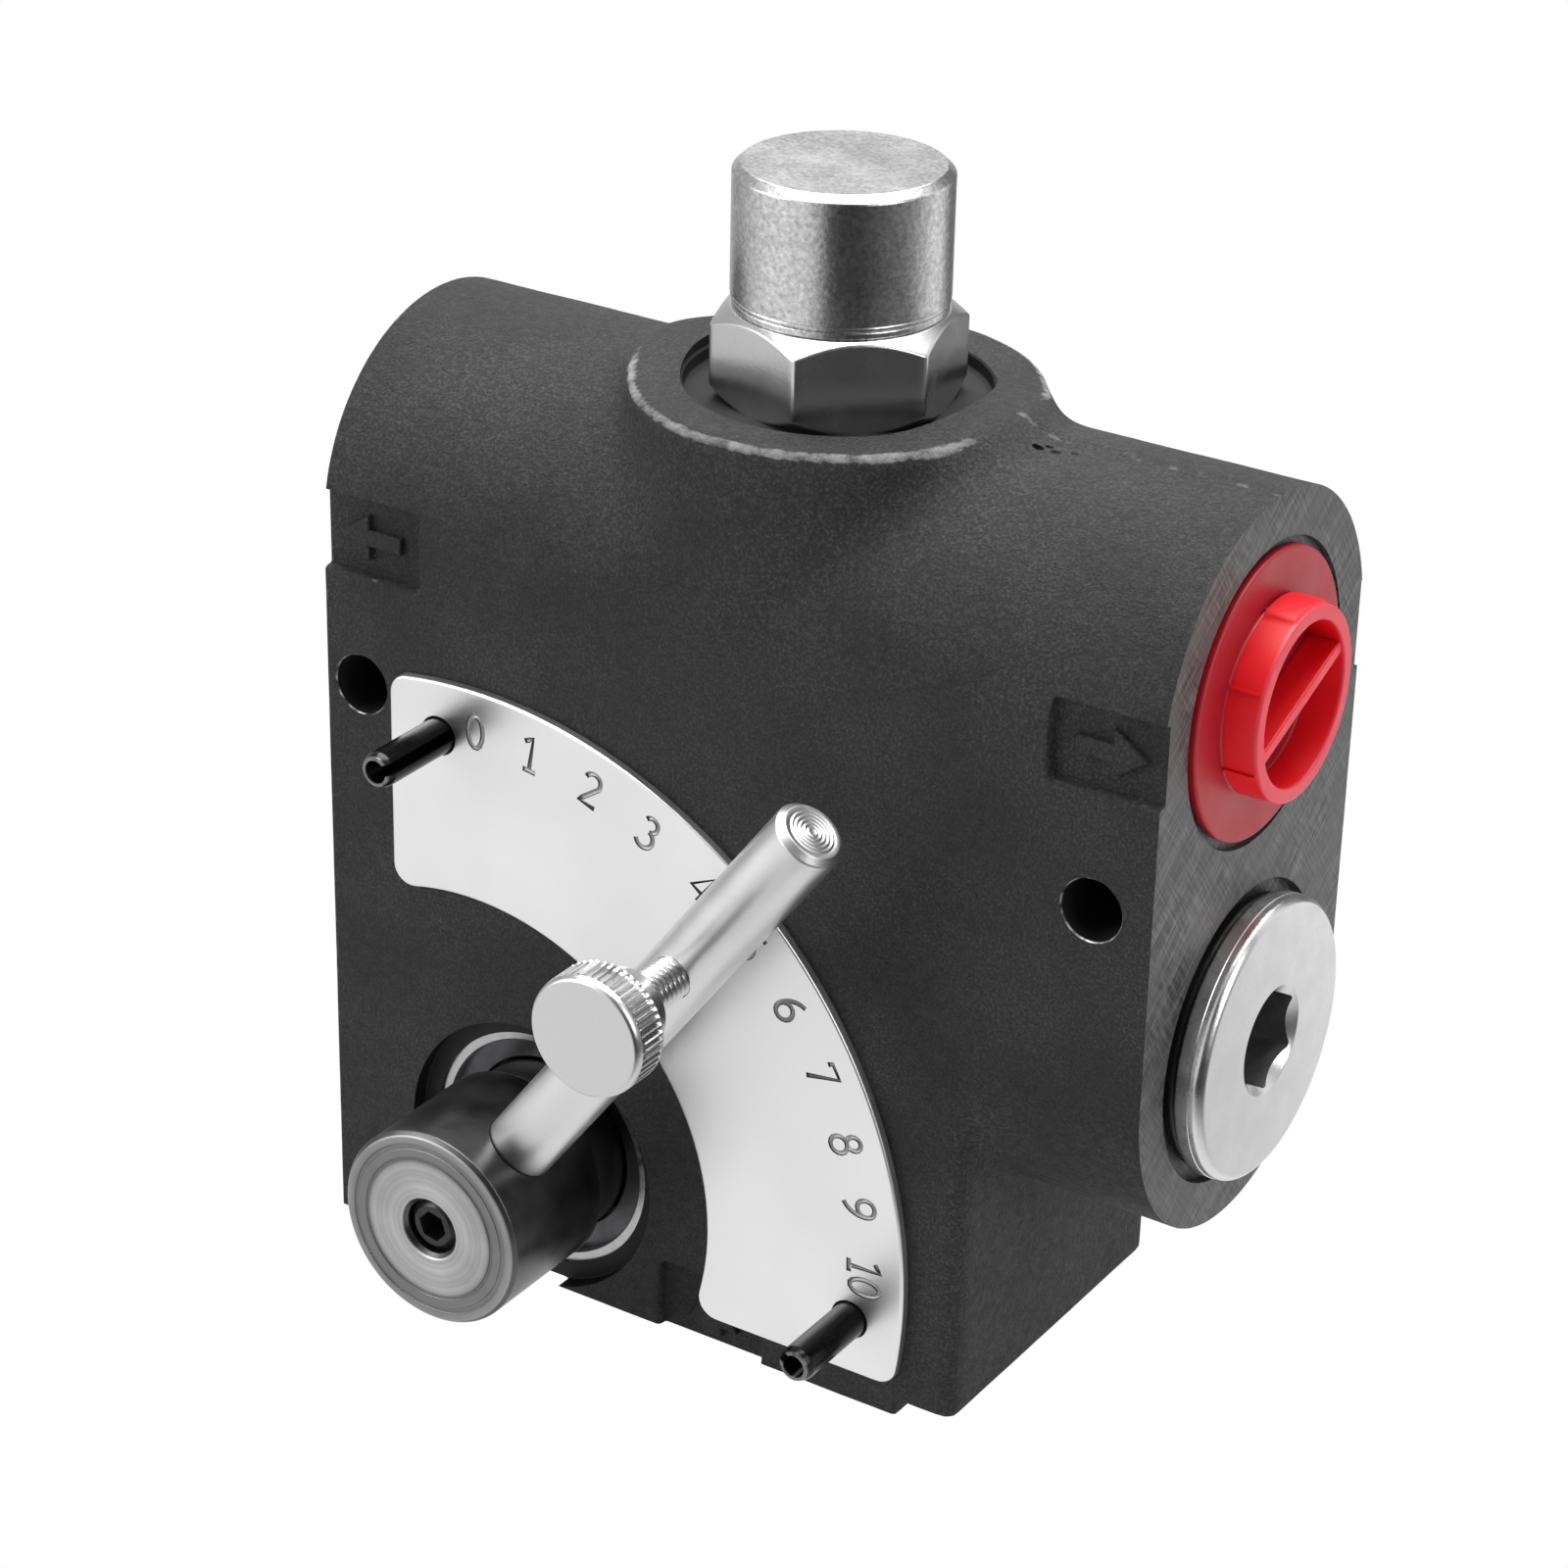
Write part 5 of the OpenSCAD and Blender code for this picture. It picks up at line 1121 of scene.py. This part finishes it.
rubber, tree, shell, here = material("nitrile_rubber_moulded", "0d0d0e", 0.0, 0.45)
dust = add(tree, "ShaderNodeTexNoise", None, Vector=here, Scale=800.0, Detail=3.0)
uneven_gloss(tree, shell, dust, 0.35, 0.55)

# The broached key socket: zinc darkened and mottled, a painted shade for the shade inside it.
zinc_socket, tree, shell, here = material("zinc_socket_painted_shade", "6a6a6a", 1.0, 0.4)
oil = add(tree, "ShaderNodeTexNoise", None, Vector=here, Scale=420.0, Detail=4.0)
two_tone(tree, shell, oil, "686868", "b4b4b4")

for side, word in ((1, "right"), (-1, "left")):
    low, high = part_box("spool_plug_" + word)
    nose = -(END_X - (low.x if side > 0 else -high.x) / MM)
    tail = [(0, nose + 0.3), (8.5, nose + 0.3), (8.5, nose), (11.0, nose),
            (11.0, -17.9)] if nose < -18.5 else [(0, -17.9)]
    profile = tail + eased((11.0, -17.9), (16.1, -17.9), (PLUG_THREAD_R, -17.4), (PLUG_THREAD_R, -0.8),
                           (16.2, -0.8), (16.2, PLUG_STAND),
                           (PLUG_HEAD_R - 0.05, PLUG_STAND, 0.2), (PLUG_HEAD_R, 2.7),
                           (PLUG_HEAD_R - 0.1, 2.8), (PLUG_HEAD_R - 0.1, PLUG_TOP - 0.8, 1.1),
                           (18.85, PLUG_TOP, 0.8), (0, PLUG_TOP))[1:]
    plug = turned("spool_plug_" + word + "_turned", profile, zinc_bright, steps=160)
    key_r = PLUG_KEY / math.sqrt(3)
    key = [(key_r * math.cos(math.radians(60 * k)),
            key_r * math.sin(math.radians(60 * k))) for k in range(6)]
    soft_key = []
    for k in range(6):
        a, b, c = (Vector(key[(k + i) % 6]) for i in (-1, 0, 1))
        soft_key += [tuple(b + (a - b).normalized() * 0.45),
                     tuple(b + ((a - b).normalized() + (c - b).normalized()) * 0.16),
                     tuple(b + (c - b).normalized() * 0.45)]
    socket = prism("key_socket", soft_key, PLUG_TOP - KEY_DEPTH, PLUG_TOP + 2, zinc_socket)
    mouth = turned("socket_chamfer", [(0, PLUG_TOP - 1.3), (6.3, PLUG_TOP - 1.3), (7.55, PLUG_TOP - 0.12),
                                      (7.8, PLUG_TOP + 0.04), (8.2, PLUG_TOP + 1), (0, PLUG_TOP + 1)],
                   zinc_bright, steps=96)
    cut(plug, socket, mouth)
    plug.data.transform(axis_frame((side, 0, 0), (side * END_X, 0, SPOOL_Z)))
    put(plug, "body", "zinc_plug", "spool_plug_" + word, crease=28)
    seal = turned("spool_plug_seal_" + word,
                  [(SEAL_R + SEAL_HALF * math.cos(t), SEAL_HALF * math.sin(t)) for t in
                  (math.radians(22.5 * k) for k in range(16))], rubber, closed=True, steps=120,
                  place=axis_frame((side, 0, 0), (side * SEAL_X, 0, SPOOL_Z)))
    put(seal, "body", "rubber", "spool_plug_o_ring_" + word, crease=60)

# ---------- relief cartridge and cap ----------
# The cartridge's hexagon, its sealing washer and the domed-edge cap are zinc plated; the cap
# screws off to reach the pressure adjuster.

RELIEF_Z, HEX_H, HEX_FLAT, HEX_TURN, HEX_TOP = 134.05, 12.4, 15.0, -17.7, 146.45
NECK_TOP, CAP_Z, CAP_R, CAP_TOP = 151.95, 147.55, 14.5, 165.55
HEX_CORNER = HEX_FLAT * 2 / math.sqrt(3)

# Satin zinc on steel: silver, finely mottled, with faint turning marks.
zinc_satin, tree, shell, here = material("satin_zinc_plate", "cfcfcf", 1.0, 0.3)
mottle = add(tree, "ShaderNodeTexNoise", None, Vector=here, Scale=1500.0, Detail=4.0, Roughness=0.65)
cloud = add(tree, "ShaderNodeTexNoise", None, Vector=here, Scale=110.0, Detail=4.0)
parts = add(tree, "ShaderNodeSeparateXYZ", None, Vector=here)
lathe_way = add(tree, "ShaderNodeMath", {"operation": "MULTIPLY"}, in0=parts.outputs["Z"], in1=3500.0)
lathe_lines = add(tree, "ShaderNodeTexNoise", {"noise_dimensions": "1D"}, W=lathe_way, Scale=1.0, Detail=1.0)
tone = add(tree, "ShaderNodeMapRange", None, Value=mottle, From_Min=0.3, From_Max=0.7)
two_tone(tree, shell, tone, "a8a8a8", "e8e8e8")
uneven_gloss(tree, shell, cloud, 0.22, 0.32)
bump = add(tree, "ShaderNodeBump", None, Height=mottle, Distance=0.00006, Strength=0.5)
bump = add(tree, "ShaderNodeBump", None, Height=lathe_lines, Distance=0.00004, Strength=0.2, Normal=bump)
tree.links.new(bump.outputs[0], shell.inputs["Normal"])

# The hexagon's drawn flats are smoother than the turned cap, and duller from handling.
zinc_hexagon, tree, shell, here = material("zinc_on_drawn_hexagon", "d6d6d6", 1.0, 0.25)
cloud = add(tree, "ShaderNodeTexNoise", None, Vector=here, Scale=140.0, Detail=4.0)
uneven_gloss(tree, shell, cloud, 0.22, 0.3)
fine = add(tree, "ShaderNodeTexNoise", None, Vector=here, Scale=1700.0, Detail=3.0)
raised(tree, shell, fine, 0.00004, 0.25)


def hex_shape(t, r, h):
    """Radius round the hexagon: its flats, turned chamfers at both ends and softened corners."""
    if h < RELIEF_Z - 0.001 or h > HEX_TOP - 0.001 or r < 14.2:
        return r
    local = (t - math.radians(HEX_TURN) - math.radians(30)) % math.radians(60)
    local = min(local, math.radians(60) - local)
    flat_r = HEX_FLAT / math.cos(local)
    soft = 0.35 * max(flat_r - HEX_CORNER + 0.5, 0) ** 2
    flat_r -= soft
    low, high = h - RELIEF_Z, HEX_TOP - h
    cone = min(HEX_FLAT + 0.2 + low * 1.11, HEX_FLAT - 0.6 + high * 1.27)
    near = max(0.22 - abs(flat_r - cone), 0) / 0.22
    return min(flat_r, cone) - near * near * 0.22 / 4


hex_rows = [0.0, 0.08] + [0.16 * k for k in range(1, 18)] + [2.9, 4.2, 6.0, 7.8, 9.2]
hex_rows += [HEX_H - 2.9 + 0.15 * k for k in range(19)] + [HEX_H - 0.1]
cartridge_line = [(7.0, 101.1), (10.5, 101.1), (10.5, 116.0), (12.4, 116.0), (13.0, 116.6), (13.0, 131.85),
                  (11.4, 131.85), (11.4, RELIEF_Z)]
cartridge_line += [(15.2, RELIEF_Z + h) for h in hex_rows]
cartridge_line += [(14.35, HEX_TOP), (11.85, HEX_TOP), (11.85, NECK_TOP - 0.4), (11.5, NECK_TOP),
                   (4.4, NECK_TOP), (4.1, NECK_TOP - 0.4),
                   (4.1, 141.35), (7.0, 141.35)]
cartridge = turned("relief_cartridge_hexagon", cartridge_line, zinc_hexagon, steps=360, closed=True,
                   shape=hex_shape)
put(cartridge, "body", "zinc_cartridge", "relief_body", crease=38)

cap_washer = turned("cap_sealing_washer", eased((13.0, HEX_TOP), (14.3, HEX_TOP, 0.3),
                                                (14.3, CAP_Z - 0.02, 0.3), (11.95, CAP_Z - 0.02, 0.2),
                                                 (11.95, HEX_TOP, 0.2), (13.0, HEX_TOP))[:-1], zinc_satin,
                    closed=True, steps=128)
put(cap_washer, "cap_seal", "zinc_cap", "relief_cap_washer")
cap = turned("relief_cap_turned", eased(
    (0, CAP_TOP), (CAP_R - 1.15, CAP_TOP, 0.35), (CAP_R, CAP_TOP - 1.0, 0.45), (CAP_R, CAP_Z + 0.75, 0.08),
    (CAP_R - 0.12, CAP_Z + 0.6), (CAP_R - 0.05, CAP_Z + 0.45),
    (CAP_R - 0.05, CAP_Z, 0.25), (12.2, CAP_Z), (11.9, CAP_Z + 0.3), (11.9, CAP_TOP - 2.4),
    (0, CAP_TOP - 2.4)), zinc_satin, steps=160)
put(cap, "cap", "zinc_cap", "relief_cap", crease=30)

# ---------- plastic plug ----------
# Moulded low-density polyethylene tap plug that keeps dirt out of the port: a push-in shell with a
# flange, a grip ring with ribs and a stepped lug, and a web across it.

FLANGE_X, FLANGE_T, FLANGE_R = 64.1, 1.4, 19.6
GRIP_R, GRIP_WALL, GRIP_FACE, SHELL_R, WEB_T, WEB_TURN = 13.05, 2.0, 70.6, 11.9, 1.8, 22.0

red_poly, tree, shell, here = material("polyethylene_red_moulded", "d00610", 0.0, 0.4,
                                       Subsurface_Weight=0.15, Subsurface_Scale=0.002,
                                 Subsurface_Radius=(1.0, 0.12, 0.08), Specular_IOR_Level=0.45)
cloud = add(tree, "ShaderNodeTexNoise", None, Vector=here, Scale=150.0, Detail=3.0)
haze = add(tree, "ShaderNodeTexNoise", None, Vector=here, Scale=1800.0, Detail=2.0)
depth_in = add(tree, "ShaderNodeSeparateXYZ", None, Vector=here).outputs["X"]
# the lip at the grip face is painted a paler pink as a painted sheen, and the flange a darker, greyer red as
# painted shade with a grey painted sheen
flange_zone = add(tree, "ShaderNodeMapRange", None, Value=depth_in,
                  From_Min=(FLANGE_X + FLANGE_T + 0.6) * MM, From_Max=(FLANGE_X + FLANGE_T + 0.05) * MM)
lip_zone = add(tree, "ShaderNodeMapRange", None, Value=depth_in, From_Min=(GRIP_FACE - 0.55) * MM,
               From_Max=(GRIP_FACE - 0.3) * MM)
tone = add(tree, "ShaderNodeMix", {"data_type": "RGBA"}, Factor=cloud, in6=linear("c2020e"),
           in7=linear("d40616"))
with_painted_sheen = add(tree, "ShaderNodeMix", {"data_type": "RGBA"}, Factor=lip_zone, in6=tone.outputs[2],
            in7=linear("c02c3c"))
final = add(tree, "ShaderNodeMix", {"data_type": "RGBA"}, Factor=flange_zone, in6=with_painted_sheen.outputs[2],
            in7=linear("920c1a"))
tree.links.new(final.outputs[2], shell.inputs["Base Color"])
uneven_gloss(tree, shell, cloud, 0.34, 0.5)
raised(tree, shell, haze, 0.00005, 0.25)


def with_lug(t, r, h):
    """The grip ring's outside, stepped out over the lug."""
    if h < FLANGE_T + 0.4 or r < GRIP_R - 0.4 or h > GRIP_FACE - FLANGE_X - 0.5:
        return r
    away = abs(math.degrees(t) - 89)
    return r + 0.5 * min(max((19.5 - away) / 1.0, 0), 1)


face = GRIP_FACE - FLANGE_X
plug_line = eased((0, 0.35), (9.9, 0.35), (9.9, -13.1), (10.7, -13.1, 0.2), (SHELL_R - 0.2, -12.4),
                  (SHELL_R, 0.0), (FLANGE_R - 0.1, 0.0, 0.3),
                  (FLANGE_R, FLANGE_T, 0.35), (GRIP_R + 0.05, FLANGE_T, 0.3), (GRIP_R + 0.02, face - 0.55),
                  (GRIP_R, face - 0.5),
                  (GRIP_R, face, 0.22), (GRIP_R - GRIP_WALL, face, 0.22),
                  (GRIP_R - GRIP_WALL - 0.1, FLANGE_T, 0.35), (0, FLANGE_T))
port_cap = turned("port_plug_moulded", plug_line, red_poly, steps=180, shape=with_lug)
web_half = GRIP_R - GRIP_WALL + 0.6
web = prism("plug_web", rounded_rect(2 * web_half, WEB_T, 0.35), 0.9, face - 0.4, red_poly, edge=0.3,
            place=Matrix.Rotation(math.radians(WEB_TURN), 4, "Z"))
cut(port_cap, web, operation="UNION")

# Thin outside ribs on the grip ring, set round a circle.
ring_of_ribs = bpy.data.node_groups.new("ring_of_ribs", "GeometryNodeTree")
ring_of_ribs.interface.new_socket("Geometry", in_out="OUTPUT", socket_type="NodeSocketGeometry")
ring_of_ribs.interface.new_socket("Geometry", in_out="INPUT", socket_type="NodeSocketGeometry")
ring_of_ribs.interface.new_socket("Count", in_out="INPUT", socket_type="NodeSocketInt")
for size in ("Radius", "Rib height", "Rib width", "Rib length", "Start"):
    ring_of_ribs.interface.new_socket(size, in_out="INPUT", socket_type="NodeSocketFloat")
ring_of_ribs.interface.new_socket("Finish", in_out="INPUT", socket_type="NodeSocketMaterial")
given = add(ring_of_ribs, "NodeGroupInput").outputs
circle = add(ring_of_ribs, "GeometryNodeMeshCircle", None, Vertices=given["Count"], Radius=given["Radius"])
size = add(ring_of_ribs, "ShaderNodeCombineXYZ", None, X=given["Rib height"], Y=given["Rib width"],
           Z=given["Rib length"])
bar = add(ring_of_ribs, "GeometryNodeMeshCube", None, Size=size)
spot = add(ring_of_ribs, "ShaderNodeSeparateXYZ", None,
           Vector=add(ring_of_ribs, "GeometryNodeInputPosition"))
spin = add(ring_of_ribs, "ShaderNodeMath", {"operation": "ARCTAN2"}, in0=spot.outputs["Y"],
           in1=spot.outputs["X"])
facing = add(ring_of_ribs, "ShaderNodeCombineXYZ", None, Z=spin)
ribs = add(ring_of_ribs, "GeometryNodeInstanceOnPoints", None, Points=circle, Instance=bar, Rotation=facing)
lift_up = add(ring_of_ribs, "ShaderNodeCombineXYZ", None, Z=given["Start"])
lifted = add(ring_of_ribs, "GeometryNodeTransform", None, Geometry=ribs, Translation=lift_up)
real = add(ring_of_ribs, "GeometryNodeRealizeInstances", None, Geometry=lifted)
painted = add(ring_of_ribs, "GeometryNodeSetMaterial", None, Geometry=real, Material=given["Finish"])
add(ring_of_ribs, "NodeGroupOutput", None, Geometry=painted)

ribs = mesh_piece("plug_ribs", [(0, 0, 0)], [], red_poly)
run_tree(ribs, ring_of_ribs, Count=7, Radius=GRIP_R + 0.1, Rib_height=0.5, Rib_width=0.4,
         Rib_length=face - 2.0, Start=FLANGE_T + (face - 2.0) / 2, Finish=red_poly)
ribs.data.transform(Matrix.Rotation(math.radians(102.9), 4, "Z"))
cut(port_cap, ribs, operation="UNION")
# local x and y become Y and Z of the port
end_frame = Matrix(((0, 0, 1, FLANGE_X), (1, 0, 0, 0), (0, 1, 0, PORT_Z), (0, 0, 0, 1)))
port_cap.data.transform(end_frame)
put(port_cap, "port_plug", "red_plastic", "ex_port_plug", crease=40)

# ---------- inner parts ----------
# The spool, its spring, the relief set and the drum's seals sit inside the casting. Their CAD
# shapes stay, each with the finish of its real material.

spool_steel, tree, shell, here = material("ground_spool_steel", "8f8f91", 1.0, 0.2)
ground = add(tree, "ShaderNodeMapping", None, Vector=here, Scale=(3000.0, 90.0, 90.0))
lines = add(tree, "ShaderNodeTexNoise", None, Vector=ground, Scale=1.0, Detail=2.0)
uneven_gloss(tree, shell, lines, 0.14, 0.3)
spring_wire, tree, shell, here = material("oiled_spring_wire", "5b5b5d", 1.0, 0.3)
film = add(tree, "ShaderNodeTexNoise", None, Vector=here, Scale=500.0, Detail=3.0)
two_tone(tree, shell, film, "454547", "747476")

INNER = {
    spool_steel: ("compensator_spool", "relief_poppet", "relief_seat", "relief_spring_guide"),
    spring_wire: ("compensator_spring", "relief_spring"),
    rubber: ("shaft_o_rings", "relief_body_o_ring"),
    black_screw: ("relief_adjusting_screw",),
    zinc_satin: ("relief_lock_nut",),
}
for finish, names in INNER.items():
    for name in names:
        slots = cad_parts[name].data.materials
        slots.clear()
        slots.append(finish)
